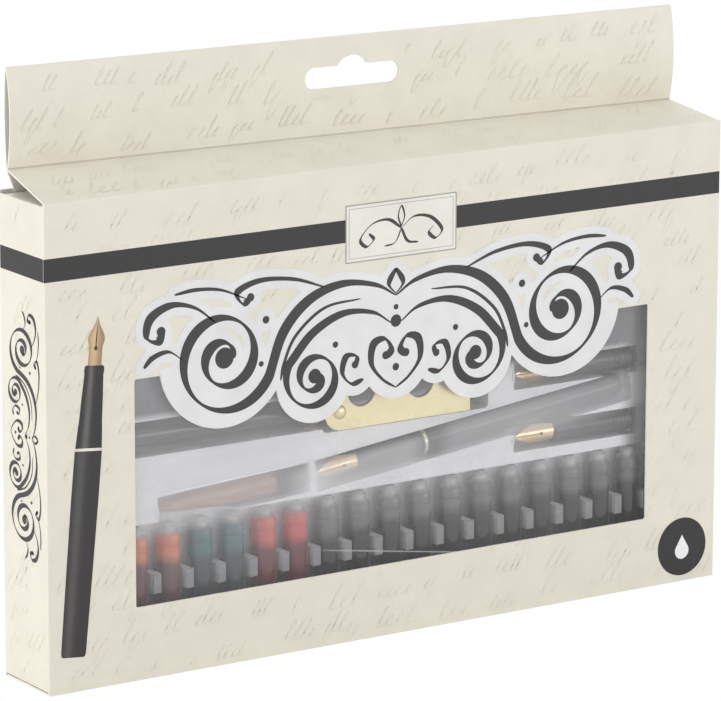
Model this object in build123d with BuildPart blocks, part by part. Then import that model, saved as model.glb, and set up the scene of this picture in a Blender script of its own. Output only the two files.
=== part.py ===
"""Hanging window carton with a calligraphy set in a vacuum-formed tray.

Millimetres.  X runs to the right along the front, Y to the back, Z up.
The origin is the middle of the carton's footprint, on the surface it stands on.
"""

import os
from math import cos, radians, sin

from build123d import *

os.makedirs("parts", exist_ok=True)

# ---------------------------------------------------------------- carton sizes
box_width = 228.0
box_depth = 24.5
box_height = 138.0
board = 0.5
fold_radius = 0.4
panel_gap = 0.3

window_left = -86.0
window_right = 88.5
window_bottom = 21.0
window_top = 86.0
window_corner = 0.6

# round scallops of the die-cut edge under the title ornament
scroll_x, scroll_z, scroll_radius = 57.0, 89.5, 21.0
curl_x, curl_z, curl_radius = 27.5, 78.5, 12.5
bud_x, bud_z, bud_radius = 14.0, 79.0, 7.0
heart_z, heart_radius = 80.5, 11.0
title_skirt_z = 77.0

film_thickness = 0.25
film_side_margin = 9.0
film_top_margin = 18.0
film_bottom_margin = 6.0
film_corner = 2.0

glue_flap_width = 14.0
glue_flap_end_gap = 15.0
glue_flap_taper = 6.0

# ------------------------------------------------------------------- lid sizes
lid_rise_left = 5.6
lid_rise_right = 2.9
lid_front_inset = 0.6
lid_rear_inset = 2.0
header_height = 28.3
header_bow_front = 1.7
header_bow_back = 0.8
header_bow_middle = 0.15
header_flat_width = 96.0
slot_length = 32.0
slot_height = 6.3
slot_above_base = 16.7
slot_hump_width = 10.5
slot_hump_height = 2.7
tuck_gap = 0.35
tuck_length = 12.0
tuck_side_inset = 1.6
tuck_taper = 5.0
tuck_corner = 4.0

# ------------------------------------------------------------ dust flap sizes
dust_length = 20.0
dust_corner = 3.0
dust_root_gap = 0.7
top_dust_tuck_gap = 1.2
bottom_dust_tuck_gap = 3.4
top_dust_mitre = 0.45
bottom_dust_mitre = 0.55

# ------------------------------------------------------------------ tray sizes
tray_wall = 0.5
tray_setback = 2.9
tray_side_gap = 0.7
tray_floor_gap = 0.3
tray_head_gap = 2.6
tray_back_gap = 0.7
tray_corner = 4.0
seat_gap = 0.3
snug = 0.02
channel_end_gap = 1.5

# ------------------------------------------------------------- cartridge sizes
cartridge_count = 20
cartridge_row_left_gap = 9.9
cartridge_row_right_gap = 15.26
cartridge_radius = 3.6
cartridge_length = 38.0
cartridge_foot_z = 4.2
cartridge_sides = 16
cartridge_shoulder = 1.3
cartridge_neck_radius = 2.1
cartridge_neck_length = 2.4
cartridge_tip_chamfer = 0.5
well_top_z = 43.4
well_corner = 1.5
nub_side_gap = 0.42
nub_height = 5.5
nub_z = 25.5
nub_setback = 0.6

# ------------------------------------------------------------------- pen sizes
barrel_radius = 4.2
barrel_end_radius = 3.5
barrel_length = 70.0
barrel_taper_length = 9.0
barrel_end_chamfer = 1.2
ring_radius = 4.35
ring_length = 1.1
grip_radius = 3.7
grip_nose_radius = 3.3
grip_length = 22.0
spare_grip_length = 27.0
grip_taper_length = 3.0
nib_radius = 2.75
nib_thickness = 0.3
nib_reach = 14.0
nib_seat = 4.0
nib_shoulder = 9.0
nib_tip_width = 0.5
nib_slit = 0.16
nib_hole_radius = 0.5
nib_hole_sides = 8
nib_waist_place = 0.55
nib_waist_share = 0.66
feed_setback = 4.5
feed_tip_height = 0.8
feed_ramp_setback = 1.0
cap_radius = 4.8
cap_wall = 0.8
cap_length = 58.0
cap_crown = 2.2
cap_crown_chamfer = 1.6
cap_band_length = 2.4
cap_band_depth = 0.3
clip_width = 2.4
clip_thickness = 0.6
clip_length = 38.0
clip_stand_off = 1.0
clip_root_length = 3.0
clip_dip = 3.6
clip_bend = 0.6

capped_pen_tip_x = 11.0
capped_pen_z = 67.6
open_pen_tip_x = -22.8
open_pen_tip_z = 49.3
open_pen_tilt = 6.5
spare_nib_tip_x = 45.0
spare_nib_low_z = 50.6
spare_nib_high_z = 69.2

holder_tip_x = -75.0
holder_tip_z = 46.2
holder_tilt = 3.6
holder_length = 38.0
holder_tip_radius = 1.2
holder_neck_radius = 3.7
holder_neck_length = 16.0
ferrule_length = 9.0
ferrule_radius = 4.0
ferrule_bore_radius = 2.2
ferrule_bore_depth = 5.0

# -------------------------------------------------------------- pen rest sizes
rest_left = -22.0
rest_right = 27.6
rest_sheet = 0.7
rest_height = 10.7
rest_gap = 0.4
rest_notch_radius = 4.7
rest_notch_spacing = 20.0
rivet_inset = 4.9
rivet_radius = 2.1
rivet_height = 1.2
rivet_crown_radius = 1.2
rivet_shank_radius = 1.1
rivet_tail_length = 0.3

# -------------------------------------------------------------- worked places
front_y = -box_depth / 2
back_y = box_depth / 2
inner_front_y = front_y + board
inner_back_y = back_y - board
half_width = box_width / 2
inner_half = half_width - board
side_top_z = box_height - board - panel_gap
side_bottom_z = board + panel_gap

header_y = inner_back_y - tuck_gap - board
header_half = half_width - lid_rear_inset
header_top = header_height - board
lid_end_y = header_y - board
lid_slope = (lid_rise_right - lid_rise_left) / (2 * header_half)
lid_rise_middle = (lid_rise_left + lid_rise_right) / 2
tuck_half = half_width - board - tuck_side_inset
bottom_front_y = inner_front_y + tuck_gap

film_back_y = inner_front_y + film_thickness
tray_front_y = film_back_y + tray_setback
tray_half = inner_half - tray_side_gap
tray_bottom_z = side_bottom_z + board + tray_floor_gap
tray_top_z = side_top_z - board - tray_head_gap
tray_back_y = header_y - tray_back_gap

cartridge_first_x = -tray_half + cartridge_row_left_gap
cartridge_row = 2 * tray_half - cartridge_row_left_gap - cartridge_row_right_gap
cartridge_pitch = cartridge_row / (cartridge_count - 1)
nub_width = cartridge_pitch - 2 * cartridge_radius - 2 * nub_side_gap
cartridge_y = tray_front_y + cartridge_radius + seat_gap
capped_pen_y = tray_front_y + cap_radius + seat_gap
open_pen_y = tray_front_y + ring_radius + seat_gap
spare_y = tray_front_y + grip_radius + seat_gap
holder_y = tray_front_y + ferrule_radius + seat_gap

grip_end = nib_reach + grip_length
barrel_start = grip_end + ring_length
pen_length = barrel_start + barrel_length
cap_top_x = capped_pen_tip_x + cap_length - grip_end
rest_bottom_z = capped_pen_z - cap_radius - rest_gap - rest_sheet
rest_front_y = capped_pen_y - cap_radius - rest_gap - rest_sheet
rest_rear_y = capped_pen_y + cap_radius + rest_gap
rest_back_y = rest_rear_y + rest_sheet


def lid_rear_z(x):
    """Height of the crease at the foot of the header, which climbs to the left."""
    return box_height + lid_rise_middle + lid_slope * x


def front_plane(y):
    """Upright plane at depth y that faces the viewer: local x is X, local y is Z."""
    return Plane(origin=(0, y, 0), x_dir=(1, 0, 0), z_dir=(0, -1, 0))


def tilted_plane(x, y, z, tilt):
    """The same plane with its origin at a point and its x turned up by tilt degrees."""
    along = (cos(radians(tilt)), 0, sin(radians(tilt)))
    return Plane(origin=(x, y, z), x_dir=along, z_dir=(0, -1, 0))


def save(piece, name):
    """Label a finished piece and write it under its own name."""
    piece.part.label = name
    export_step(piece.part, f"parts/{name}.step")


# ------------------------------------------------------- the sleeve of the box
with BuildSketch() as window_opening:
    with Locations(((window_left + window_right) / 2, (window_bottom + window_top) / 2)):
        Rectangle(window_right - window_left, window_top - window_bottom)
    fillet(window_opening.vertices(), window_corner)
    with Locations((0, window_top)):
        Rectangle(2 * scroll_x, 2 * (window_top - title_skirt_z), mode=Mode.SUBTRACT)
    with Locations((-scroll_x, scroll_z), (scroll_x, scroll_z)):
        Circle(scroll_radius, mode=Mode.SUBTRACT)
    with Locations((-curl_x, curl_z), (curl_x, curl_z)):
        Circle(curl_radius, mode=Mode.SUBTRACT)
    with Locations((-bud_x, bud_z), (bud_x, bud_z)):
        Circle(bud_radius, mode=Mode.SUBTRACT)
    with Locations((0, heart_z)):
        Circle(heart_radius, mode=Mode.SUBTRACT)

with BuildPart() as front_panel:
    with BuildSketch(front_plane(front_y)):
        Rectangle(box_width, box_height, align=(Align.CENTER, Align.MIN))
        add(window_opening.sketch_local, mode=Mode.SUBTRACT)
    extrude(amount=-board)
    outer_face = front_panel.faces().sort_by(Axis.Y)[0]
    fillet(outer_face.outer_wire().edges().sort_by(Axis.Z)[1:], fold_radius)
save(front_panel, "front_panel")

with BuildPart() as back_panel:
    with BuildSketch(front_plane(inner_back_y)):
        Rectangle(box_width, box_height, align=(Align.CENTER, Align.MIN))
    extrude(amount=-board)
    fillet(back_panel.edges().filter_by(Axis.Z).group_by(Axis.Y)[-1], fold_radius)
save(back_panel, "back_panel")

for side, name in ((-1, "left_side_panel"), (1, "right_side_panel")):
    with BuildPart() as side_panel:
        with BuildSketch(Plane.XY.offset(side_bottom_z)):
            with Locations((side * (half_width - board / 2), 0)):
                Rectangle(board, box_depth - 2 * board)
        extrude(amount=side_top_z - side_bottom_z)
        outer_side = side_panel.faces().sort_by(Axis.X)[-1 if side > 0 else 0]
        fillet(outer_side.edges().filter_by(Axis.Y), fold_radius)
    save(side_panel, name)

with BuildPart() as glue_flap:
    glue_flap_top = box_height - glue_flap_end_gap
    glue_flap_edge = inner_half - glue_flap_width
    with BuildSketch(front_plane(inner_back_y - board)):
        Polygon(
            (inner_half, glue_flap_end_gap),
            (inner_half, glue_flap_top),
            (glue_flap_edge, glue_flap_top - glue_flap_taper),
            (glue_flap_edge, glue_flap_end_gap + glue_flap_taper),
            align=None,
        )
    extrude(amount=-board)
save(glue_flap, "glue_flap")

with BuildPart() as window_film:
    film_left = window_left - film_side_margin
    film_right = window_right + film_side_margin
    film_bottom = window_bottom - film_bottom_margin
    film_top = window_top + film_top_margin
    with BuildSketch(front_plane(inner_front_y)):
        with Locations(((film_left + film_right) / 2, (film_bottom + film_top) / 2)):
            RectangleRounded(film_right - film_left, film_top - film_bottom, film_corner)
    extrude(amount=-film_thickness)
save(window_film, "window_film")


# -------------------------------------------- the lid, its header and its tuck
def lid_end_plane(side):
    """Upright plane at one end of the lid, from the fold to the header's foot."""
    fold = Vector(side * (half_width - lid_front_inset), inner_front_y, box_height)
    foot = Vector(side * header_half, lid_end_y, box_height)
    along = (foot - fold).normalized()
    return Plane(origin=fold, x_dir=along, z_dir=along.cross(Vector(0, 0, 1)))


lid_run = Vector(lid_rear_inset - lid_front_inset, lid_end_y - inner_front_y, 0).length
with BuildPart() as lid_panel:
    for side, rise in ((-1, lid_rise_left), (1, lid_rise_right)):
        with BuildSketch(lid_end_plane(side)):
            Polygon((0, -board), (0, 0), (lid_run, rise), (lid_run, rise - board), align=None)
    loft(ruled=True)
save(lid_panel, "lid_panel")

with BuildSketch() as hang_slot:
    SlotOverall(slot_length, slot_height)
    hump_foot = slot_height / 2
    with BuildLine():
        ThreePointArc(
            (-slot_hump_width / 2, hump_foot),
            (0, hump_foot + slot_hump_height),
            (slot_hump_width / 2, hump_foot),
        )
        Line((slot_hump_width / 2, hump_foot), (-slot_hump_width / 2, hump_foot))
    make_face()

slot_plane = Plane(
    origin=(0, header_y, lid_rear_z(0) + slot_above_base),
    x_dir=(1, 0, lid_slope),
    z_dir=(0, -1, 0),
)
header_stations = (
    (-header_half, header_bow_front, header_bow_back),
    (-header_flat_width / 2, header_bow_middle, header_bow_middle),
    (header_flat_width / 2, header_bow_middle, header_bow_middle),
    (header_half, header_bow_front, header_bow_back),
)


fold_shoulder = board * cos(radians(45))


def header_plane(x):
    """Upright cross-section plane at x: local x is Y, local y is the height."""
    return Plane(origin=(x, header_y, lid_rear_z(x)), x_dir=(0, 1, 0), z_dir=(1, 0, 0))


with BuildPart() as header_front_ply:
    for x, bow, _ in header_stations:
        with BuildSketch(header_plane(x)):
            with BuildLine():
                Polyline((0, 0), (0, -board), (-board, -board), (-board, 0))
                ThreePointArc((-board, 0), (-board - bow, header_top / 2), (-board, header_top))
                Polyline(
                    (-board, header_top),
                    (-fold_shoulder, header_top + fold_shoulder),
                    (0, header_height),
                    (fold_shoulder, header_top + fold_shoulder),
                    (board, header_top),
                    (0, header_top),
                )
                ThreePointArc((0, header_top), (-bow, header_top / 2), (0, 0))
            make_face()
    loft(ruled=True)
    with BuildSketch(slot_plane):
        add(hang_slot.sketch_local)
    extrude(amount=box_depth, both=True, mode=Mode.SUBTRACT)
save(header_front_ply, "header_front_ply")

with BuildPart() as header_back_ply:
    for x, _, bow in header_stations:
        with BuildSketch(header_plane(x)):
            with BuildLine():
                Polyline((board, 0), (board, -board), (0, -board), (0, 0))
                ThreePointArc((0, 0), (bow, header_top / 2), (0, header_top))
                Line((0, header_top), (board, header_top))
                ThreePointArc((board, header_top), (board + bow, header_top / 2), (board, 0))
            make_face()
    loft(ruled=True)
    with BuildSketch(slot_plane):
        add(hang_slot.sketch_local)
    extrude(amount=box_depth, both=True, mode=Mode.SUBTRACT)
save(header_back_ply, "header_back_ply")

tuck_plane = Plane(
    origin=(0, header_y, lid_rear_z(0) - board),
    x_dir=(1, 0, lid_slope),
    z_dir=(0, -1, 0),
)
with BuildPart() as lid_tuck_flap:
    with BuildSketch(tuck_plane) as tuck_outline:
        Polygon(
            (-tuck_half, 0),
            (tuck_half, 0),
            (tuck_half - tuck_taper, -tuck_length),
            (-tuck_half + tuck_taper, -tuck_length),
            align=None,
        )
        fillet(tuck_outline.vertices().group_by(Axis.Y)[0], tuck_corner)
    extrude(amount=-board)
save(lid_tuck_flap, "lid_tuck_flap")


# -------------------------------------------------------- the bottom's closure
with BuildPart() as bottom_panel:
    with BuildSketch(Plane.XY):
        with Locations((0, (bottom_front_y + inner_back_y) / 2)):
            Rectangle(box_width - 2 * panel_gap, inner_back_y - bottom_front_y)
    extrude(amount=board)
    front_fold = bottom_panel.edges().filter_by(Axis.X).group_by(Axis.Z)[0].sort_by(Axis.Y)[0]
    fillet(front_fold, fold_radius)
save(bottom_panel, "bottom_panel")

with BuildPart() as bottom_tuck_flap:
    with BuildSketch(front_plane(bottom_front_y)) as tuck_outline:
        Polygon(
            (-tuck_half, board),
            (tuck_half, board),
            (tuck_half - tuck_taper, board + tuck_length),
            (-tuck_half + tuck_taper, board + tuck_length),
            align=None,
        )
        fillet(tuck_outline.vertices().group_by(Axis.Y)[-1], tuck_corner)
    extrude(amount=-board)
save(bottom_tuck_flap, "bottom_tuck_flap")


# ---------------------------------------------------------- the dust flaps
def dust_flap(side, low_z, hinge_y, tuck_y, mitre, tuck_clearance):
    """Flap that folds in from a side panel, mitred towards the closure's hinge.

    hinge_y is the wall that the closure hinges on, tuck_y the face of its tuck flap.
    """
    inward = 1 if tuck_y > hinge_y else -1
    root_x = side * inner_half
    tip_x = side * (inner_half - dust_length)
    near_y = hinge_y + inward * dust_root_gap
    far_y = tuck_y - inward * tuck_clearance
    with BuildPart() as flap:
        with BuildSketch(Plane.XY.offset(low_z)) as flap_outline:
            Polygon(
                (root_x, near_y),
                (root_x, far_y),
                (tip_x, far_y),
                (tip_x, near_y + inward * mitre * dust_length),
                align=None,
            )
            tip_corners = flap_outline.vertices().sort_by(Axis.X)
            fillet(tip_corners[:2] if side > 0 else tip_corners[2:], dust_corner)
        extrude(amount=board)
    return flap


bottom_tuck_back_y = bottom_front_y + board
for side, word in ((-1, "left"), (1, "right")):
    top_flap = dust_flap(side, side_top_z - board, inner_front_y, header_y,
                         top_dust_mitre, top_dust_tuck_gap)
    save(top_flap, f"top_dust_flap_{word}")
    low_flap = dust_flap(side, side_bottom_z, inner_back_y, bottom_tuck_back_y,
                         bottom_dust_mitre, bottom_dust_tuck_gap)
    save(low_flap, f"bottom_dust_flap_{word}")


# ----------------------------------------------------- the vacuum-formed tray
def trough(x, y, z, tilt, length, radius, grow):
    """Round-bottomed channel that opens to the front, grown all round by grow.

    It starts at x, z and runs along its axis at depth y.  The inside, with no growth,
    reaches on past the tray's face so that it cuts the face open.
    """
    past_face = 0.0 if grow else tray_wall
    start = tilted_plane(x, y, z, tilt)
    section = Plane(origin=start.origin, x_dir=start.y_dir, z_dir=start.x_dir)
    depth = y - tray_front_y + past_face
    with BuildPart() as channel:
        with BuildSketch(section.offset(-grow)):
            Circle(radius + grow)
            Rectangle(2 * (radius + grow), depth, align=(Align.CENTER, Align.MIN))
        extrude(amount=length + 2 * grow)
    return channel.part


def pocket(left, right, low, high, back, corner, grow):
    """Flat-backed pocket with rounded corners, grown all round by grow."""
    past_face = 0.0 if grow else tray_wall
    face_y = tray_front_y - past_face
    with BuildPart() as well:
        with BuildSketch(front_plane(face_y)):
            with Locations(((left + right) / 2, (low + high) / 2)):
                RectangleRounded(right - left + 2 * grow, high - low + 2 * grow, corner + grow)
        extrude(amount=-(back + grow - face_y))
    return well.part


well_left = cartridge_first_x - cartridge_pitch / 2
well_right = well_left + cartridge_count * cartridge_pitch
well_back_y = cartridge_y + cartridge_radius + seat_gap
capped_pen_left = capped_pen_tip_x - pen_length
rest_well_low = rest_bottom_z - rest_gap
rest_well_high = capped_pen_z + cap_radius + clip_stand_off + clip_thickness + rest_gap
rest_well_right = cap_top_x + channel_end_gap


def tray_cavities(grow):
    """Every hollow of the tray: inside faces with no growth, outside with the wall."""
    cap_seat = cap_radius + seat_gap
    spare_seat = grip_radius + seat_gap
    spare_length = nib_reach + spare_grip_length + 2 * channel_end_gap
    holder_reach = holder_length + ferrule_length + 2 * channel_end_gap
    open_reach = pen_length + 2 * channel_end_gap
    capped_reach = cap_top_x - capped_pen_left + 2 * channel_end_gap
    capped_start = capped_pen_left - channel_end_gap
    spare_start = spare_nib_tip_x - channel_end_gap
    open_start = tilted_plane(open_pen_tip_x, open_pen_y, open_pen_tip_z, open_pen_tilt)
    open_origin = open_start.from_local_coords((-channel_end_gap, 0, 0))
    holder_start = tilted_plane(holder_tip_x, holder_y, holder_tip_z, holder_tilt)
    holder_origin = holder_start.from_local_coords((-channel_end_gap, 0, 0))
    yield pocket(well_left, well_right, cartridge_foot_z - seat_gap, well_top_z,
                 well_back_y, well_corner, grow)
    yield pocket(rest_left - rest_gap, rest_well_right, rest_well_low, rest_well_high,
                 rest_back_y + rest_gap, well_corner, grow)
    yield trough(capped_start, capped_pen_y, capped_pen_z, 0, capped_reach, cap_seat, grow)
    yield trough(spare_start, spare_y, spare_nib_low_z, 0, spare_length, spare_seat, grow)
    yield trough(spare_start, spare_y, spare_nib_high_z, 0, spare_length, spare_seat, grow)
    yield trough(open_origin.X, open_pen_y, open_origin.Z, open_pen_tilt,
                 open_reach, ring_radius + seat_gap, grow)
    yield trough(holder_origin.X, holder_y, holder_origin.Z, holder_tilt,
                 holder_reach, ferrule_radius + seat_gap, grow)


tray_outsides = list(tray_cavities(tray_wall))
tray_insides = list(tray_cavities(0.0))
tray_middle_z = (tray_bottom_z + tray_top_z) / 2
tray_width = 2 * tray_half
tray_height = tray_top_z - tray_bottom_z
with BuildPart() as tray:
    with BuildSketch(front_plane(tray_front_y)):
        with Locations((0, tray_middle_z)):
            RectangleRounded(tray_width, tray_height, tray_corner)
    extrude(amount=-tray_wall)
    with BuildSketch(front_plane(tray_front_y)):
        with Locations((0, tray_middle_z)):
            RectangleRounded(tray_width, tray_height, tray_corner)
            inside_corner = tray_corner - tray_wall
            RectangleRounded(tray_width - 2 * tray_wall, tray_height - 2 * tray_wall,
                             inside_corner, mode=Mode.SUBTRACT)
    extrude(amount=-(tray_back_y - tray_front_y))
    for shape in tray_outsides:
        add(shape)
    for shape in tray_insides:
        add(shape, mode=Mode.SUBTRACT)
    with BuildSketch(front_plane(tray_front_y + nub_setback)):
        with Locations(*[(cartridge_first_x + (i + 0.5) * cartridge_pitch, nub_z)
                         for i in range(cartridge_count - 1)]):
            Rectangle(nub_width, nub_height)
    extrude(amount=-(well_back_y - tray_front_y - nub_setback))
save(tray, "tray")

# ------------------------------------------------------------- ink cartridges
neck_foot = cartridge_length - cartridge_neck_length
for i in range(cartridge_count):
    stand = Plane(origin=(cartridge_first_x + i * cartridge_pitch, cartridge_y, cartridge_foot_z))
    with BuildPart() as cartridge:
        with BuildSketch(stand):
            RegularPolygon(cartridge_radius, cartridge_sides)
        extrude(amount=neck_foot)
        chamfer(cartridge.faces().sort_by(Axis.Z)[-1].edges(), cartridge_shoulder)
        with BuildSketch(stand.offset(neck_foot)):
            RegularPolygon(cartridge_neck_radius, cartridge_sides)
        extrude(amount=cartridge_neck_length)
        chamfer(cartridge.faces().sort_by(Axis.Z)[-1].edges(), cartridge_tip_chamfer)
    save(cartridge, f"ink_cartridge_{i + 1:02d}")


# ---------------------------------------------------------------- fountain pens
def turned(axis_plane, outline):
    """Solid turned about a pen's axis from a closed outline of length, radius pairs."""
    with BuildPart() as turning:
        with BuildSketch(axis_plane):
            Polygon(*outline, align=None)
        revolve(axis=Axis(axis_plane.origin, axis_plane.x_dir))
    return turning


def pen_nib(axis_plane):
    """Slit nib: a strip of a thin tube, drawn in to a point, with its breather hole."""
    inner = nib_radius - nib_thickness
    with BuildPart() as nib:
        with BuildSketch(axis_plane):
            Polygon(
                (0, -nib_tip_width / 2),
                (0, nib_tip_width / 2),
                (nib_shoulder * nib_waist_place, inner * nib_waist_share),
                (nib_shoulder, inner),
                (nib_reach + nib_seat, inner),
                (nib_reach + nib_seat, -inner),
                (nib_shoulder, -inner),
                (nib_shoulder * nib_waist_place, -inner * nib_waist_share),
                align=None,
            )
        extrude(amount=nib_radius + nib_thickness)
        with BuildSketch(Plane(axis_plane.origin, x_dir=axis_plane.y_dir, z_dir=axis_plane.x_dir)):
            Circle(nib_radius)
            Circle(inner, mode=Mode.SUBTRACT)
        extrude(amount=nib_reach + nib_seat, mode=Mode.INTERSECT)
        with BuildSketch(axis_plane):
            with Locations((nib_shoulder / 2, 0)):
                Rectangle(nib_shoulder, nib_slit)
            with Locations((nib_shoulder, 0)):
                RegularPolygon(nib_hole_radius, nib_hole_sides)
        extrude(amount=nib_radius + nib_thickness, mode=Mode.SUBTRACT)
    return nib


def pen_feed(axis_plane):
    """Ink feed under the nib: a rod that thins towards the point."""
    radius = nib_radius - nib_thickness - snug
    side_plane = Plane(axis_plane.origin, x_dir=axis_plane.x_dir, z_dir=axis_plane.y_dir)
    tail = nib_reach + nib_seat
    with BuildPart() as feed:
        with BuildSketch(Plane(axis_plane.origin, x_dir=axis_plane.y_dir, z_dir=axis_plane.x_dir)):
            Circle(radius)
        extrude(amount=tail)
        with BuildSketch(side_plane):
            Polygon(
                (feed_setback, -radius),
                (tail, -radius),
                (tail, radius),
                (nib_reach - feed_ramp_setback, radius),
                (feed_setback, -radius + feed_tip_height),
                align=None,
            )
        extrude(amount=nib_radius, both=True, mode=Mode.INTERSECT)
    return feed


def pen_grip(axis_plane, length):
    """Black grip section with the socket that holds nib and feed."""
    nose = nib_reach
    return turned(axis_plane, [
        (nose, nib_radius + snug),
        (nose, grip_nose_radius),
        (nose + grip_taper_length, grip_radius),
        (nose + length, grip_radius),
        (nose + length, 0),
        (nose + nib_seat, 0),
        (nose + nib_seat, nib_radius + snug),
    ])


def pen_barrel(axis_plane):
    """Barrel that is straight at first, then tapers to its chamfered end."""
    return turned(axis_plane, [
        (barrel_start, 0),
        (barrel_start, barrel_radius),
        (pen_length - barrel_taper_length, barrel_radius),
        (pen_length - barrel_end_chamfer, barrel_end_radius),
        (pen_length, barrel_end_radius - barrel_end_chamfer),
        (pen_length, 0),
    ])


def barrel_ring(axis_plane):
    """Bright ring between grip and barrel."""
    return turned(axis_plane, [
        (grip_end, 0),
        (grip_end, ring_radius),
        (barrel_start, ring_radius),
        (barrel_start, 0),
    ])


open_pen = tilted_plane(open_pen_tip_x, open_pen_y, open_pen_tip_z, open_pen_tilt)
capped_pen = Plane(
    origin=(capped_pen_tip_x, capped_pen_y, capped_pen_z), x_dir=(-1, 0, 0), z_dir=(0, -1, 0)
)
for pen, word in ((open_pen, "open_pen"), (capped_pen, "capped_pen")):
    save(pen_nib(pen), f"{word}_nib")
    save(pen_feed(pen), f"{word}_feed")
    save(pen_grip(pen, grip_length), f"{word}_grip")
    save(barrel_ring(pen), f"{word}_ring")
    save(pen_barrel(pen), f"{word}_barrel")

cap_mouth = grip_end - snug
cap_end = grip_end - cap_length
cap_bore = cap_radius - cap_wall
pen_cap = turned(capped_pen, [
    (cap_end + cap_crown, 0),
    (cap_end + cap_crown, cap_bore),
    (cap_mouth, cap_bore),
    (cap_mouth, cap_radius - cap_band_depth),
    (cap_mouth - cap_band_length, cap_radius - cap_band_depth),
    (cap_mouth - cap_band_length, cap_radius),
    (cap_end + cap_crown_chamfer, cap_radius),
    (cap_end, cap_radius - cap_crown_chamfer),
    (cap_end, 0),
])
save(pen_cap, "pen_cap")

cap_band = turned(capped_pen, [
    (cap_mouth - cap_band_length + snug, cap_radius - cap_band_depth + snug),
    (cap_mouth - cap_band_length + snug, cap_radius + snug),
    (cap_mouth, cap_radius + snug),
    (cap_mouth, cap_radius - cap_band_depth + snug),
])
save(cap_band, "pen_cap_band")

clip_plane = Plane(
    origin=(cap_top_x, capped_pen_y, capped_pen_z), x_dir=(-1, 0, 0), z_dir=(0, 1, 0)
)
clip_under = cap_radius + clip_stand_off
clip_over = clip_under + clip_thickness
dip_start = clip_length - clip_dip
dip_middle = clip_length - clip_dip / 2
dip_end = clip_length
dip_under = cap_radius + seat_gap
dip_over = dip_under + clip_thickness
with BuildPart() as pen_clip:
    with BuildSketch(clip_plane):
        with BuildLine():
            Polyline(
                (cap_crown + clip_root_length, clip_under),
                (cap_crown + clip_root_length, cap_bore),
                (cap_crown, cap_bore),
                (cap_crown, clip_under),
            )
            ThreePointArc(
                (cap_crown, clip_under),
                (cap_crown + clip_bend * 0.3, clip_over - clip_bend * 0.3),
                (cap_crown + clip_bend, clip_over),
            )
            Line((cap_crown + clip_bend, clip_over), (dip_start, clip_over))
            ThreePointArc((dip_start, clip_over), (dip_middle, dip_over), (dip_end, clip_over))
            Line((dip_end, clip_over), (dip_end, clip_under))
            ThreePointArc((dip_end, clip_under), (dip_middle, dip_under), (dip_start, clip_under))
            Line((dip_start, clip_under), (cap_crown + clip_root_length, clip_under))
        make_face()
    extrude(amount=clip_width / 2, both=True)
    with BuildSketch(Plane(origin=clip_plane.origin, x_dir=(0, 1, 0), z_dir=(-1, 0, 0))):
        Circle(cap_radius + snug)
    extrude(amount=cap_length, mode=Mode.SUBTRACT)
save(pen_clip, "pen_clip")

# ------------------------------------------- the two spare nibs in their grips
for z, word in ((spare_nib_low_z, "low"), (spare_nib_high_z, "high")):
    spare = tilted_plane(spare_nib_tip_x, spare_y, z, 0)
    save(pen_nib(spare), f"spare_nib_{word}")
    save(pen_feed(spare), f"spare_feed_{word}")
    save(pen_grip(spare, spare_grip_length), f"spare_grip_{word}")

# ---------------------------------------------------- the short wooden holder
holder = tilted_plane(holder_tip_x, holder_y, holder_tip_z, holder_tilt)
penholder_wood = turned(holder, [
    (0, 0),
    (0, holder_tip_radius),
    (holder_length - holder_neck_length, holder_neck_radius),
    (holder_length, holder_neck_radius),
    (holder_length, 0),
])
save(penholder_wood, "penholder_wood")

ferrule_end = holder_length + ferrule_length
penholder_ferrule = turned(holder, [
    (holder_length, 0),
    (holder_length, ferrule_radius),
    (ferrule_end, ferrule_radius),
    (ferrule_end, ferrule_bore_radius),
    (ferrule_end - ferrule_bore_depth, ferrule_bore_radius),
    (ferrule_end - ferrule_bore_depth, 0),
])
save(penholder_ferrule, "penholder_ferrule")

# -------------------------------------------------- the brass rest for two pens
rest_middle_z = rest_bottom_z + rest_height / 2
rest_end_radius = rest_height / 2
rest_top_z = rest_bottom_z + rest_height
rest_notch_middle = (rest_left + rest_right) / 2 - rivet_inset / 2
rivet_x = rest_left + rivet_inset
with BuildPart() as pen_rest:
    for y in (rest_front_y, rest_rear_y):
        with BuildSketch(front_plane(y)):
            with Locations(((rest_left + rest_end_radius + rest_right) / 2, rest_middle_z)):
                Rectangle(rest_right - rest_left - rest_end_radius, rest_height)
            with Locations((rest_left + rest_end_radius, rest_middle_z)):
                Circle(rest_end_radius)
            for notch in (-1, 1):
                with Locations((rest_notch_middle + notch * rest_notch_spacing / 2, rest_top_z)):
                    Circle(rest_notch_radius, mode=Mode.SUBTRACT)
        extrude(amount=-rest_sheet)
    with BuildSketch(Plane.XY.offset(rest_bottom_z)):
        with Locations((
            (rest_left + rest_end_radius + rest_right) / 2,
            (rest_front_y + rest_back_y) / 2,
        )):
            Rectangle(rest_right - rest_left - rest_end_radius, rest_back_y - rest_front_y)
    extrude(amount=rest_sheet)
    with BuildSketch(front_plane(rest_front_y)):
        with Locations((rivet_x, rest_middle_z)):
            Circle(rivet_shank_radius + snug)
    extrude(amount=-rest_sheet, mode=Mode.SUBTRACT)
save(pen_rest, "pen_rest")

rivet_plane = Plane(origin=(rivet_x, rest_front_y, rest_middle_z), x_dir=(0, -1, 0), z_dir=(1, 0, 0))
pen_rest_rivet = turned(rivet_plane, [
    (-rest_sheet - rivet_tail_length, 0),
    (-rest_sheet - rivet_tail_length, rivet_shank_radius),
    (0, rivet_shank_radius),
    (0, rivet_radius),
    (rivet_height, rivet_crown_radius),
    (rivet_height, 0),
])
save(pen_rest_rivet, "pen_rest_rivet")
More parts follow.
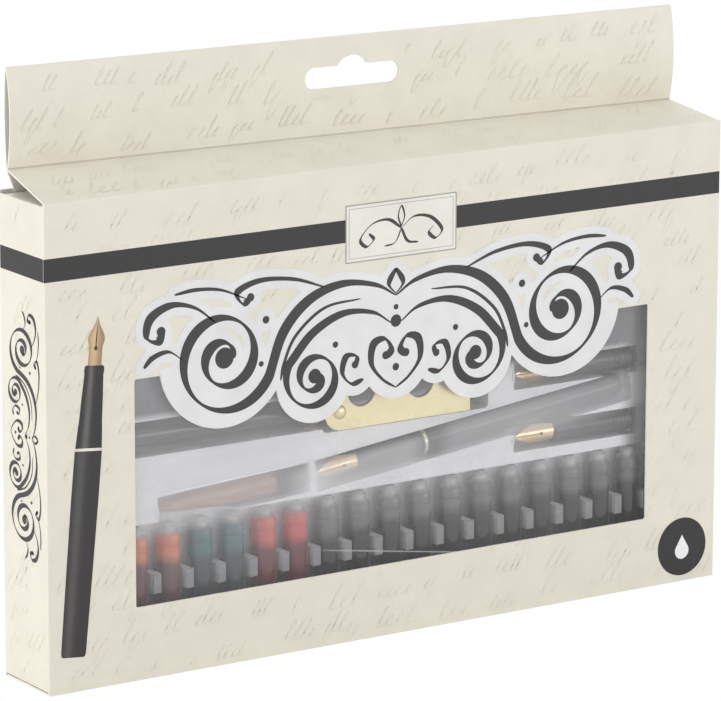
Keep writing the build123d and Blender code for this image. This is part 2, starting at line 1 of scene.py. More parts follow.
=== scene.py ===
# %% [markdown]
# # A hanging window carton with a calligraphy set
#
# The imported CAD model is the frame: the folded carton, the clear film, the formed tray and
# everything in it.  This script gives each surface its look and adds what is only printed:
# the dark band, the label plate, the scroll ornament, the pen, the dot and the faint writing.
#
# Axes: X to the right along the front, Y to the back, Z up, in metres.  Lengths in the code are
# written in millimetres and multiplied by MM.

# %% Setup: load the frame
import math

import bpy
import numpy as np
from mathutils import Matrix, Vector


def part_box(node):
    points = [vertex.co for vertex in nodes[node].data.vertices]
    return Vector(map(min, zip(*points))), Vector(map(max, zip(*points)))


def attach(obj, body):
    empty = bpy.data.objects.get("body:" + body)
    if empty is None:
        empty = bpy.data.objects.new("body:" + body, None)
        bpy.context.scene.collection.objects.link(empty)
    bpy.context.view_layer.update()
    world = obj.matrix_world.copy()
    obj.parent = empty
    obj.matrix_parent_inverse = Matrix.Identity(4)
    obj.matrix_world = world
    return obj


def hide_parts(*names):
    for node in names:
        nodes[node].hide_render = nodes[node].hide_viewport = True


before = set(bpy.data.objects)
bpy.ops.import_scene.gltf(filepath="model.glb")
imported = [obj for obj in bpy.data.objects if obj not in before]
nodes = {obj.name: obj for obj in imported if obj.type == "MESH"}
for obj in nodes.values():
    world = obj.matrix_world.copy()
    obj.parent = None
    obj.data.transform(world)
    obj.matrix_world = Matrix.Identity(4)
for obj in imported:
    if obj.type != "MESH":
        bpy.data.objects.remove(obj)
MM = 0.001


def note_size():
    """Update the view layer."""
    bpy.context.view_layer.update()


note_size()

# %% [markdown]
# ## 1. Places that the print needs
#
# The print lies on the outer faces of the board, so the sizes of those faces come first.  They
# are read from the frame's boxes where a box tells them, and the die-cut window edge is stated
# again by its circles, because the white margin of the ornament ends on that edge.

# %% Places and sizes, in millimetres
front_low, front_high = (np.array(v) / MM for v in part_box("front_panel"))
front_y = front_low[1]
half_width = front_high[0]
box_height = front_high[2]
back_y = np.array(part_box("back_panel")[1])[1] / MM
board = 0.5
window = (-86.0, 88.5, 21.0, 86.0)
skirt_z = 77.0
scallops = [(s * x, z, r) for x, z, r in
            ((57.0, 89.5, 21.0), (27.5, 78.5, 12.5), (14.0, 79.0, 7.0), (0.0, 80.5, 11.0))
            for s in (-1, 1)]
band_low, band_high = 116.35, 122.86
lid_rise_left, lid_rise_right = 5.6, 2.9
header_y, header_half, header_top = 10.9, 112.0, 27.8
lid_front_y, lid_rear_y = -11.75, 10.4
LIFT = 0.03


def lid_rear_z(x):
    """Height of the crease at the header's foot: z = h + rise(x), rise falling to the right."""
    share = (np.asarray(x, float) + header_half) / (2 * header_half)
    return box_height + lid_rise_left + (lid_rise_right - lid_rise_left) * share


def header_bow(x):
    """Bow of the header's front ply: 0.15 mm in the middle, growing evenly to 1.7 at the ends."""
    share = np.clip((np.abs(x) - 48.0) / (header_half - 48.0), 0, 1)
    return 0.15 + (1.7 - 0.15) * share


def window_field(x, z):
    """Signed distance style field: negative inside the window's opening.

    d = max(rectangle, -circles, -skirt), where each term is negative inside its own shape.
    """
    left, right, low, high = window
    rectangle = np.maximum(np.maximum(left - x, x - right), np.maximum(low - z, z - high))
    circles = np.min([np.hypot(x - cx, z - cz) - r for cx, cz, r in scallops], axis=0)
    skirt = np.maximum(np.abs(x) - 57.0, skirt_z - z)
    return np.maximum(rectangle, np.maximum(-circles, -skirt))


# %% [markdown]
# ## 2. Small tools for flat print
#
# Print is built flat, in two coordinates on a face, and then laid on that face a few hundredths
# of a millimetre proud.  There are two kinds: ribbons along a centre line, which change width as
# a broad nib's stroke does, and filled shapes cut out of a field by marching squares.


# %% Flat shapes: ribbons, discs, filled fields
class Flat:
    """Flat print as 2-D vertices, faces and one (u, v) pair per vertex."""

    def __init__(self):
        self.verts, self.uvs, self.faces = [], [], []

    def add(self, verts, faces, uvs=None):
        start = len(self.verts)
        self.verts += [tuple(v) for v in verts]
        self.uvs += [tuple(v) for v in (uvs if uvs is not None else verts)]
        self.faces += [tuple(start + i for i in face) for face in faces]

    def ribbon(self, path, width):
        """Quads along a path: edge points are p ± n w / 2, n the unit normal of the path."""
        path = np.asarray(path, float)
        width = np.broadcast_to(width, len(path))
        step = np.gradient(path, axis=0)
        step /= np.maximum(np.linalg.norm(step, axis=1, keepdims=True), 1e-9)
        normal = np.stack([-step[:, 1], step[:, 0]], axis=1)
        left = path + normal * width[:, None] / 2
        right = path - normal * width[:, None] / 2
        run = np.concatenate([[0], np.cumsum(np.linalg.norm(np.diff(path, axis=0), axis=1))])
        count = len(path)
        uvs = [(-1, v) for v in run] + [(1, v) for v in run]
        faces = [(i, i + 1, count + i + 1, count + i) for i in range(count - 1)]
        self.add(np.concatenate([left, right]), faces, uvs)

    def disc(self, x, z, radius, count=40):
        turn = np.linspace(0, 2 * np.pi, count, endpoint=False)
        verts = np.stack([x + radius * np.cos(turn), z + radius * np.sin(turn)], axis=1)
        self.add(verts, [tuple(range(count))])

    def field(self, function, left, right, low, high, step):
        """Fill where the function is negative: each grid cell is cut along f = 0 (linear)."""
        xs = np.linspace(left, right, int(round((right - left) / step)) + 1)
        zs = np.linspace(low, high, int(round((high - low) / step)) + 1)
        grid_x, grid_z = np.meshgrid(xs, zs, indexing="ij")
        f = function(grid_x, grid_z)
        f = np.where(f == 0, 1e-9, f)
        known, verts, faces = {}, [], []

        def corner(key, x, z):
            if key not in known:
                known[key] = len(verts)
                verts.append((x, z))
            return known[key]

        for i in range(len(xs) - 1):
            for j in range(len(zs) - 1):
                ring = ((i, j), (i + 1, j), (i + 1, j + 1), (i, j + 1))
                values = [f[c] for c in ring]
                if min(values) > 0:
                    continue
                face = []
                for k in range(4):
                    a, b = ring[k], ring[(k + 1) % 4]
                    if values[k] < 0:
                        face.append(corner(a, xs[a[0]], zs[a[1]]))
                    if (values[k] < 0) != (values[(k + 1) % 4] < 0):
                        t = values[k] / (values[k] - values[(k + 1) % 4])
                        x = xs[a[0]] + t * (xs[b[0]] - xs[a[0]])
                        z = zs[a[1]] + t * (zs[b[1]] - zs[a[1]])
                        face.append(corner((min(a, b), max(a, b)), x, z))
                if len(face) > 2:
                    faces.append(tuple(face))
        self.add(verts, faces)


def smooth_path(points, each=8):
    """Catmull-Rom curve through the points, with each samples a span."""
    p = np.asarray(points, float)
    p = np.concatenate([[2 * p[0] - p[1]], p, [2 * p[-1] - p[-2]]])
    t = np.linspace(0, 1, each, endpoint=False)[:, None]
    spans = []
    for a, b, c, d in zip(p[:-3], p[1:-2], p[2:-1], p[3:]):
        spans.append(0.5 * (2 * b + (c - a) * t + (2 * a - 5 * b + 4 * c - d) * t ** 2
                            + (3 * b - a - 3 * c + d) * t ** 3))
    return np.concatenate(spans + [p[-2:-1]])


def spiral(x, z, start_radius, end_radius, start, end, count=90):
    """Even spiral r = r0 + (r1 - r0) s about (x, z), turning from start to end degrees."""
    s = np.linspace(0, 1, count)
    turn = np.radians(start + (end - start) * s)
    radius = start_radius + (end_radius - start_radius) * s
    return np.stack([x + radius * np.cos(turn), z + radius * np.sin(turn)], axis=1)


def nib_width(path, thin, thick, slant=38.0, taper=0.12):
    """Width of a broad nib's stroke: thin + (thick - thin) |sin(a - slant)|^1.5, drawn in at the ends."""
    step = np.gradient(np.asarray(path, float), axis=0)
    angle = np.arctan2(step[:, 1], step[:, 0]) - math.radians(slant)
    width = thin + (thick - thin) * np.abs(np.sin(angle)) ** 1.5
    s = np.linspace(0, 1, len(width))
    ends = np.clip(np.minimum(s, 1 - s) / taper, 0, 1)
    return width * (0.3 + 0.7 * np.sqrt(ends))


# %% Faces of the carton that print lies on
def on_front(flat, lift):
    """(x, z) on the front panel."""
    return np.stack([flat[:, 0], np.full(len(flat), front_y - lift), flat[:, 1]], axis=1)


def on_back(flat, lift):
    """(x, z) on the back panel, read from behind, so x is mirrored."""
    return np.stack([-flat[:, 0], np.full(len(flat), back_y + lift), flat[:, 1]], axis=1)


def on_left(flat, lift):
    """(along, z) on the left side: along runs to the viewer, from back to front."""
    return np.stack([np.full(len(flat), -half_width - lift), -flat[:, 0], flat[:, 1]], axis=1)


def on_right(flat, lift):
    """(along, z) on the right side: along runs from front to back."""
    return np.stack([np.full(len(flat), half_width + lift), flat[:, 0], flat[:, 1]], axis=1)


def on_header(flat, lift):
    """(x, height over the crease) on the header's bowed front ply.

    The bow is close to the parabola y = -4 b t (1 - t), t = height / 27.8 mm.
    """
    x, up = flat[:, 0], flat[:, 1]
    t = np.clip(up / header_top, 0, 1)
    y = header_y - board - 4 * header_bow(x) * t * (1 - t)
    return np.stack([x, y - lift - 0.02, lid_rear_z(x) + up], axis=1)


def on_header_back(flat, lift):
    """(x, height over the crease) on the header's back ply, read from behind, bowed 0.15 to 0.8."""
    x, up = -flat[:, 0], flat[:, 1]
    t = np.clip(up / header_top, 0, 1)
    bow = 0.15 + (0.8 - 0.15) * np.clip((np.abs(x) - 48.0) / (header_half - 48.0), 0, 1)
    y = header_y + board + 4 * bow * t * (1 - t)
    return np.stack([x, y + lift + 0.02, lid_rear_z(x) + up], axis=1)


def on_lid(flat, lift):
    """(x, distance back from the fold) on the sloping lid: z = h + rise d / depth."""
    x, back = flat[:, 0], flat[:, 1]
    rise = (lid_rear_z(x) - box_height) * back / (lid_rear_y - lid_front_y)
    return np.stack([x, lid_front_y + back, box_height + rise + lift], axis=1)


def print_on(name, flat, face, lift, material, body="sleeve"):
    """Lay flat print on a face as one mesh that moves with a body of the frame."""
    mesh = bpy.data.meshes.new(name)
    place = face(np.array(flat.verts, float), lift) * MM
    mesh.from_pydata(place.tolist(), [], flat.faces)
    layer = mesh.uv_layers.new(name="Flat")
    loops = np.empty(len(mesh.loops), dtype=np.int64)
    mesh.loops.foreach_get("vertex_index", loops)
    layer.data.foreach_set("uv", np.array(flat.uvs, float)[loops].astype(np.float32).ravel())
    mesh.materials.append(material)
    mesh.validate()
    made = bpy.data.objects.new(name, mesh)
    bpy.context.scene.collection.objects.link(made)
    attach(made, body)
    return made


# %% [markdown]
# ## 3. Node tools and shared effects
#
# A material here is a few nodes round one Principled shader.  An effect that several materials
# use is a node group with its own inputs, such as the board's printed side, a fine grain, handled
# plastic or drawn metal, and each group ends in a colour, a roughness or a height.


# %% Helpers for node trees
class Tree:
    """A node tree with short ways to add nodes: sockets and plain numbers mix freely."""

    def __init__(self, tree):
        self.tree = tree

    def node(self, kind, **settings):
        made = self.tree.nodes.new(kind)
        for key, value in settings.items():
            setattr(made, key, value)
        return made

    def feed(self, socket, value):
        if isinstance(value, bpy.types.NodeSocket):
            self.tree.links.new(value, socket)
        elif isinstance(value, (tuple, list)) and socket.type == "RGBA" and len(value) == 3:
            socket.default_value = (*value, 1.0)
        else:
            socket.default_value = value

    def math(self, operation, a, b=0.0, clamp=False):
        made = self.node("ShaderNodeMath", operation=operation, use_clamp=clamp)
        self.feed(made.inputs[0], a)
        self.feed(made.inputs[1], b)
        return made.outputs[0]

    def mix(self, factor, a, b, blend="MIX"):
        made = self.node("ShaderNodeMix", data_type="RGBA", blend_type=blend)
        self.feed(made.inputs[0], factor)
        self.feed(made.inputs[6], a)
        self.feed(made.inputs[7], b)
        return made.outputs[2]

    def noise(self, vector, scale, detail=3.0, rough=0.5):
        made = self.node("ShaderNodeTexNoise")
        self.feed(made.inputs["Vector"], vector)
        made.inputs["Scale"].default_value = scale
        made.inputs["Detail"].default_value = detail
        made.inputs["Roughness"].default_value = rough
        return made.outputs["Fac"]

    def smooth(self, value, low, high, out_low=0.0, out_high=1.0):
        """Smooth step from low to high."""
        made = self.node("ShaderNodeMapRange", interpolation_type="SMOOTHSTEP")
        for socket, v in zip(made.inputs, (value, low, high, out_low, out_high)):
            self.feed(socket, v)
        return made.outputs[0]

    def split(self, vector):
        made = self.node("ShaderNodeSeparateXYZ")
        self.feed(made.inputs[0], vector)
        return made.outputs

    def dot(self, a, b):
        made = self.node("ShaderNodeVectorMath", operation="DOT_PRODUCT")
        self.feed(made.inputs[0], a)
        self.feed(made.inputs[1], b)
        return made.outputs["Value"]

    def stretch(self, vector, scale):
        made = self.node("ShaderNodeVectorMath", operation="MULTIPLY")
        self.feed(made.inputs[0], vector)
        self.feed(made.inputs[1], scale)
        return made.outputs[0]

    def bump(self, height, strength, distance):
        made = self.node("ShaderNodeBump")
        made.inputs["Strength"].default_value = strength
        made.inputs["Distance"].default_value = distance
        self.feed(made.inputs["Height"], height)
        return made.outputs[0]

    def group(self, made_group, **inputs):
        made = self.node("ShaderNodeGroup")
        made.node_tree = made_group
        for key, value in inputs.items():
            self.feed(made.inputs[key], value)
        return made.outputs


def new_group(name, inputs, outputs):
    """A node group with named sockets; returns its Tree, its inputs and its output node."""
    made = bpy.data.node_groups.new(name, "ShaderNodeTree")
    kinds = {"float": "NodeSocketFloat", "colour": "NodeSocketColor", "vector": "NodeSocketVector"}
    for key, kind in inputs.items():
        made.interface.new_socket(name=key, in_out="INPUT", socket_type=kinds[kind])
    for key, kind in outputs.items():
        made.interface.new_socket(name=key, in_out="OUTPUT", socket_type=kinds[kind])
    tree = Tree(made)
    return tree, tree.node("NodeGroupInput").outputs, tree.node("NodeGroupOutput").inputs


def new_material(name, **constants):
    """A material with one Principled shader; constants are set straight on its sockets."""
    made = bpy.data.materials.new(name)
    made.use_nodes = True
    tree = Tree(made.node_tree)
    shader = made.node_tree.nodes["Principled BSDF"]
    for key, value in constants.items():
        tree.feed(shader.inputs[key.replace("_", " ")], value)
    where = tree.node("ShaderNodeTexCoord")
    return made, tree, shader, where


# %% Shared groups: board grain, printed side, worn plastic, brushed metal
tree, given, result = new_group("Board grain", {"Place": "vector"},
                                {"Height": "float", "Tint": "float"})
fibres = tree.noise(tree.stretch(given["Place"], (1.0, 1.0, 0.35)), 2600.0, 4.0, 0.6)
mottle = tree.noise(given["Place"], 90.0, 3.0, 0.55)
tree.feed(result["Height"], fibres)
tree.feed(result["Tint"], tree.math("ADD", tree.math("MULTIPLY", fibres, 0.25),
                                    tree.math("MULTIPLY", mottle, 0.75)))
board_grain = tree.tree

tree, given, result = new_group(
    "Printed side",
    {"Place": "vector", "Facing": "float", "Print": "colour", "Raw": "colour", "Tint": "float"},
    {"Colour": "colour", "Roughness": "float"})
printed = tree.smooth(given["Facing"], 0.02, 0.12)
shade = tree.smooth(given["Tint"], 0.3, 0.7, 0.965, 1.02)
shaded = tree.node("ShaderNodeVectorMath", operation="SCALE")
tree.feed(shaded.inputs[0], given["Print"])
tree.feed(shaded.inputs["Scale"], shade)
edge_lines = tree.noise(tree.stretch(given["Place"], (1.0, 1.0, 1.0)), 5200.0, 2.0, 0.7)
raw = tree.mix(tree.smooth(edge_lines, 0.35, 0.65, 0.0, 0.35), given["Raw"], (0.45, 0.43, 0.39))
tree.feed(result["Colour"], tree.mix(printed, raw, shaded.outputs[0]))
tree.feed(result["Roughness"], tree.smooth(given["Facing"], 0.02, 0.12, 0.85, 0.47))
printed_side = tree.tree

tree, given, result = new_group("Handled plastic", {"Place": "vector", "Base": "float"},
                                {"Roughness": "float", "Height": "float"})
cloud = tree.noise(given["Place"], 160.0, 4.0, 0.6)
lines = tree.noise(tree.stretch(given["Place"], (0.15, 1.0, 1.0)), 3200.0, 2.0, 0.5)
tree.feed(result["Roughness"], tree.math("ADD", given["Base"], tree.math("MULTIPLY", cloud, 0.14)))
tree.feed(result["Height"], tree.math("ADD", tree.math("MULTIPLY", cloud, 0.6), lines))
handled_plastic = tree.tree

tree, given, result = new_group("Drawn metal", {"Place": "vector", "Base": "float"},
                                {"Roughness": "float", "Height": "float", "Tint": "float"})
draw_lines = tree.noise(tree.stretch(given["Place"], (0.05, 1.0, 1.0)), 4200.0, 3.0, 0.6)
stain = tree.noise(given["Place"], 220.0, 4.0, 0.6)
tree.feed(result["Roughness"], tree.math("ADD", given["Base"], tree.math("MULTIPLY", stain, 0.2)))
tree.feed(result["Height"], draw_lines)
tree.feed(result["Tint"], stain)
drawn_metal = tree.tree

# %% [markdown]
# ## 4. Printed board
#
# Each panel is printed on the side that faces out, and bare grey-white on its inside and on its
# cut edges.  The object-space normal says which: print = smoothstep(normal · outward).  The dark
# band is part of the same print, as a step in the height Z, so it runs round the corners unbroken.

# %% Board materials
CREAM = (0.765, 0.735, 0.628)
RAW = (0.88, 0.855, 0.785)
CHARCOAL = (0.024, 0.022, 0.022)
INK = (0.038, 0.036, 0.039)
MARGIN = (0.755, 0.755, 0.765)


def board_material(name, outward, band=False, crease=None):
    made, tree, shader, where = new_material(name, Specular_IOR_Level=0.42, Coat_Weight=0.12,
                                             Coat_Roughness=0.32, Sheen_Weight=0.04)
    place = where.outputs["Object"]
    grain = tree.group(board_grain, Place=place)
    facing = tree.dot(where.outputs["Normal"], outward)
    ink = CREAM
    height = tree.split(place)[2]
    if band:
        above = tree.smooth(height, (band_low - 0.06) * MM, (band_low + 0.06) * MM)
        below = tree.smooth(height, (band_high - 0.06) * MM, (band_high + 0.06) * MM, 1.0, 0.0)
        ink = tree.mix(tree.math("MULTIPLY", above, below), CREAM, CHARCOAL)
    # Painted shade: a dark line along the crease at the header's foot stands for the shade in the fold,
    # and it is mixed into the print colour.
    if crease:
        along = tree.split(place)[0]
        fall = (lid_rise_right - lid_rise_left) / (2 * header_half)
        level = tree.math("SUBTRACT", height, tree.math("MULTIPLY", along, fall))
        middle = (box_height + (lid_rise_left + lid_rise_right) / 2 + crease) * MM
        off = tree.math("ABSOLUTE", tree.math("SUBTRACT", level, middle))
        wobble = tree.math("MULTIPLY", tree.noise(place, 900.0, 2.0), 0.00018)
        line = tree.smooth(tree.math("SUBTRACT", off, wobble), 0.00004, 0.00034, 0.55, 0.0)
        ink = tree.mix(line, ink, (0.36, 0.34, 0.27))
    side = tree.group(printed_side, Place=place, Facing=facing, Print=ink, Raw=RAW,
                      Tint=grain["Tint"])
    tree.feed(shader.inputs["Base Color"], side["Colour"])
    tree.feed(shader.inputs["Roughness"], side["Roughness"])
    tree.feed(shader.inputs["Normal"], tree.bump(grain["Height"], 0.12, 0.00006))
    return made


board_sides = {
    "front_panel": ((0, -1, 0), True, None),
    "back_panel": ((0, 1, 0), True, None),
    "left_side_panel": ((-1, 0, 0), True, None),
    "right_side_panel": ((1, 0, 0), True, None),
    "glue_flap": ((0, 1, 0), False, None),
    "lid_panel": ((0, 0, 1), False, None),
    "header_front_ply": ((0, -1, 0), False, 0.15),
    "header_back_ply": ((0, 1, 0), False, None),
    "lid_tuck_flap": ((0, 1, 0), False, None),
    "bottom_panel": ((0, 0, -1), False, None),
    "bottom_tuck_flap": ((0, -1, 0), False, None),
    "top_dust_flap_left": ((0, 0, 1), False, None),
    "top_dust_flap_right": ((0, 0, 1), False, None),
    "bottom_dust_flap_left": ((0, 0, -1), False, None),
    "bottom_dust_flap_right": ((0, 0, -1), False, None),
}


def wear(node, material):
    """Give a CAD node one material."""
    mesh = nodes[node].data
    mesh.materials.clear()
    mesh.materials.append(material)


for node, (outward, band, crease) in board_sides.items():
    wear(node, board_material("Board_" + node, outward, band, crease))

# %% [markdown]
# ## 5. What lies behind the window
#
# The film is clear with a grey veil: it is mostly transparent, reflects by Fresnel's law and adds
# a little scattered light.  Its amount is painted by place as painted reflection: more in the
# upper middle and along a few painted reflection streaks, as a bent sheet shows under a soft
# light, and less at the bottom and towards the right edge, as painted shade.  The tray is milky
# sheet, with painted shade low in its well, high up under the board and at its right end.  The
# cartridges are translucent shells that are darker where the ink stands, with painted shade
# towards the foot and painted highlights along their edges, and the metal is drawn and plated.

# %% Film
film, tree, shader, where = new_material("Window_film")
place = where.outputs["Object"]
x, y, z = tree.split(place)
# Amount of veil by place: painted reflection that grows with height, and painted shade that weakens it
# towards the right edge; drift is a random unevenness of the haze.
haze_and_painted_reflection = tree.smooth(z, 0.022, 0.050, 0.08, 0.22)
right = tree.smooth(x, 0.055, 0.090, 1.0, 0.6)
drift = tree.smooth(tree.noise(tree.stretch(place, (0.5, 1.0, 1.6)), 30.0, 2.0), 0.35, 0.7, 0.8, 1.2)
haze_and_painted_reflection = tree.math("MULTIPLY", tree.math("MULTIPLY", haze_and_painted_reflection, right), drift)


def painted_reflection_streak(slope, level, half, left, right_end, depth):
    """Painted reflection streak: brighter veil along the line z = level + slope x, fading over half a
    width and at both ends.
    """
    off = tree.math("ABSOLUTE", tree.math("SUBTRACT", tree.math(
        "SUBTRACT", z, tree.math("MULTIPLY", x, slope)), level))
    near = tree.smooth(off, half * 0.4, half, 1.0, 0.0)
    start = tree.smooth(x, left, left + 0.012)
    stop = tree.smooth(x, right_end - 0.012, right_end, 1.0, 0.0)
    return tree.math("MULTIPLY", tree.math("MULTIPLY", near, depth), tree.math(
        "MULTIPLY", start, stop))


# Painted reflection streaks on the film, one of them a thin painted highlight line.
for line in (
             (0.06, 0.0535, 0.0110, -0.092, -0.018, 0.21), (0.114, 0.0519, 0.0072, 0.010, 0.092, 0.20), (0.114, 0.0519, 0.0060, -0.038, 0.016, 0.26),
             (-0.16, 0.0243, 0.00028, -0.030, 0.034, 0.30), (0.05, 0.0560, 0.00022, -0.080, -0.030, 0.25),
             (0.02, 0.0610, 0.0050, -0.086, 0.0, 0.10)):
    haze_and_painted_reflection = tree.math("ADD", haze_and_painted_reflection, painted_reflection_streak(*line))
scatter = tree.node("ShaderNodeBsdfDiffuse")
tree.feed(scatter.inputs["Color"], (0.80, 0.80, 0.82))
clear = tree.node("ShaderNodeBsdfTransparent")
tree.feed(clear.inputs["Color"], (0.97, 0.97, 0.98))
gloss = tree.node("ShaderNodeBsdfGlossy")
gloss.inputs["Roughness"].default_value = 0.06
ripple = tree.noise(tree.stretch(place, (0.7, 1.0, 1.3)), 24.0, 2.0, 0.5)
tree.feed(gloss.inputs["Normal"], tree.bump(ripple, 0.25, 0.004))
edge = tree.node("ShaderNodeFresnel")
edge.inputs["IOR"].default_value = 1.45
hazy = tree.node("ShaderNodeMixShader")
tree.feed(hazy.inputs[0], haze_and_painted_reflection)
tree.feed(hazy.inputs[1], clear.outputs[0])
tree.feed(hazy.inputs[2], scatter.outputs[0])
whole = tree.node("ShaderNodeMixShader")
tree.feed(whole.inputs[0], edge.outputs[0])
tree.feed(whole.inputs[1], hazy.outputs[0])
tree.feed(whole.inputs[2], gloss.outputs[0])
inside = tree.node("ShaderNodeNewGeometry")
through = tree.node("ShaderNodeBsdfTransparent")
once = tree.node("ShaderNodeMixShader")
tree.feed(once.inputs[0], inside.outputs["Backfacing"])
tree.feed(once.inputs[1], whole.outputs[0])
tree.feed(once.inputs[2], through.outputs[0])
tree.feed(film.node_tree.nodes["Material Output"].inputs["Surface"], once.outputs[0])
film.node_tree.nodes.remove(shader)
wear("window_film", film)

# %% Tray
tray, tree, shader, where = new_material("Formed_tray", Specular_IOR_Level=0.6, Coat_Weight=0.5,
                                         Coat_Roughness=0.12, IOR=1.5)
place = where.outputs["Object"]
flow = tree.noise(place, 60.0, 3.0, 0.5)
frost = tree.noise(place, 1800.0, 2.0, 0.5)
east, depth, height = tree.split(place)
# Painted shade in the tray: inside the well (sunk) the colour darkens towards the bottom (deep), where
# shade falls; flow and frost are the sheet's own cloudiness.
sunk = tree.math("MULTIPLY", tree.smooth(depth, -0.0084, -0.0082),
                 tree.smooth(height, 0.0431, 0.0434, 1.0, 0.0))
deep = tree.mix(tree.smooth(height, 0.016, 0.027), (0.30, 0.30, 0.31), (0.84, 0.84, 0.85))
well_with_painted_shade = tree.mix(tree.smooth(flow, 0.3, 0.7), deep, tree.mix(0.12, deep, (0.95, 0.95, 0.96)))
milky = tree.mix(tree.smooth(flow, 0.3, 0.7), (0.80, 0.80, 0.82), (0.90, 0.90, 0.91))
front = tree.math("MULTIPLY", tree.smooth(height, 0.100, 0.106, 1.0, 0.0),
                  tree.smooth(depth, -0.0060, -0.0050, 1.0, 0.0))
# Painted shade: the tray's front is painted dark grey high up under the board, and brownish grey at its
# right end (shaded).
shaded = tree.mix(tree.math("MULTIPLY", tree.smooth(height, 0.0722, 0.0752), front), milky,
                  (0.16, 0.16, 0.17))
shaded = tree.mix(tree.math("MULTIPLY", tree.smooth(east, 0.0800, 0.0865), front), shaded,
                  (0.20, 0.185, 0.175))
post = tree.math("MULTIPLY", tree.smooth(depth, -0.00785, -0.00765, 1.0, 0.0),
                 tree.smooth(height, 0.0292, 0.0300, 1.0, 0.0))
post = tree.math("MULTIPLY", post, tree.smooth(height, 0.0215, 0.0222))
tree.feed(shader.inputs["Base Color"], tree.mix(post, tree.mix(sunk, shaded, well_with_painted_shade),
                                                (0.25, 0.25, 0.26)))
tree.feed(shader.inputs["Roughness"], tree.smooth(flow, 0.3, 0.7, 0.22, 0.36))
tree.feed(shader.inputs["Normal"], tree.bump(tree.math("ADD", flow, tree.math(
    "MULTIPLY", frost, 0.1)), 0.2, 0.0006))
wear("tray", tray)


# %% Cartridges: darker below the ink's level, paler shell above, milky neck, painted shade towards the foot and painted highlights at the edges
def cartridge_material(name, ink, shell):
    made, tree, shader, where = new_material(name, Specular_IOR_Level=0.6, Coat_Weight=0.6,
                                             Coat_Roughness=0.08)
    place = where.outputs["Object"]
    height = tree.split(place)[2]
    level = tree.math("ADD", height, tree.math("MULTIPLY", tree.math(
        "SUBTRACT", tree.noise(place, 45.0, 2.0), 0.5), 0.007))
    drained = tree.smooth(level, 0.0290, 0.0335)
    neck = tree.smooth(height, 0.0383, 0.0402)
    # Painted shade: the ink colour darkens towards the cartridge's foot.
    ink_with_painted_shade_low = tree.mix(tree.smooth(height, 0.006, 0.021), [0.25 * c for c in ink], ink)
    # Painted highlight: the shell turns paler where it faces away from the view, as a rim highlight along
    # each edge.
    wall = tree.node("ShaderNodeLayerWeight")
    wall.inputs["Blend"].default_value = 0.35
    rim = tree.smooth(wall.outputs["Facing"], 0.45, 0.90, 0.0, 0.75)
    filled = tree.mix(drained, ink_with_painted_shade_low, shell)
    with_painted_rim_highlight = tree.mix(rim, filled, tree.mix(0.6, shell, (0.70, 0.70, 0.71)))
    colour = tree.mix(neck, with_painted_rim_highlight, (0.46, 0.46, 0.46))
    wear_out = tree.group(handled_plastic, Place=place, Base=0.16)
    tree.feed(shader.inputs["Base Color"], colour)
    tree.feed(shader.inputs["Roughness"], wear_out["Roughness"])
    tree.feed(shader.inputs["Normal"], tree.bump(wear_out["Height"], 0.05, 0.0001))
    return made


inks = {
    "Blue": ("ink_blue", (0.018, 0.030, 0.110), (0.10, 0.16, 0.42)),
    "Orange": ("ink_orange", (0.110, 0.036, 0.030), (0.66, 0.20, 0.11)),
    "Teal": ("ink_teal", (0.016, 0.036, 0.042), (0.050, 0.135, 0.155)),
    "Red": ("ink_red", (0.140, 0.014, 0.018), (0.60, 0.085, 0.060)),
    "Black": ("ink_black", (0.012, 0.012, 0.014), (0.135, 0.131, 0.125)),
}
shells = {key: cartridge_material("Cartridge_" + key, ink, shell)
          for key, (_, ink, shell) in inks.items()}
row = ["Blue"] * 2 + ["Orange"] * 2 + ["Teal"] * 2 + ["Red"] * 2 + ["Black"] * 12


# %% Pens, nibs, holder and rest
def plastic_material(name, colour, rough):
    made, tree, shader, where = new_material(name, Specular_IOR_Level=0.55, Coat_Weight=0.35,
                                             Coat_Roughness=0.06)
    place = where.outputs["Object"]
    wear_out = tree.group(handled_plastic, Place=place, Base=rough)
    dust = tree.smooth(tree.noise(place, 700.0, 3.0, 0.7), 0.62, 0.78, 0.0, 0.12)
    tree.feed(shader.inputs["Base Color"], tree.mix(dust, colour, (0.20, 0.20, 0.20)))
    tree.feed(shader.inputs["Roughness"], wear_out["Roughness"])
    tree.feed(shader.inputs["Normal"], tree.bump(wear_out["Height"], 0.04, 0.0001))
    return made


def metal_material(name, colour, deep, rough):
    made, tree, shader, where = new_material(name, Metallic=1.0)
    place = where.outputs["Object"]
    drawn = tree.group(drawn_metal, Place=place, Base=rough)
    tree.feed(shader.inputs["Base Color"],
              tree.mix(tree.smooth(drawn["Tint"], 0.35, 0.75), colour, deep))
    tree.feed(shader.inputs["Roughness"], drawn["Roughness"])
    tree.feed(shader.inputs["Normal"], tree.bump(drawn["Height"], 0.10, 0.00008))
    return made


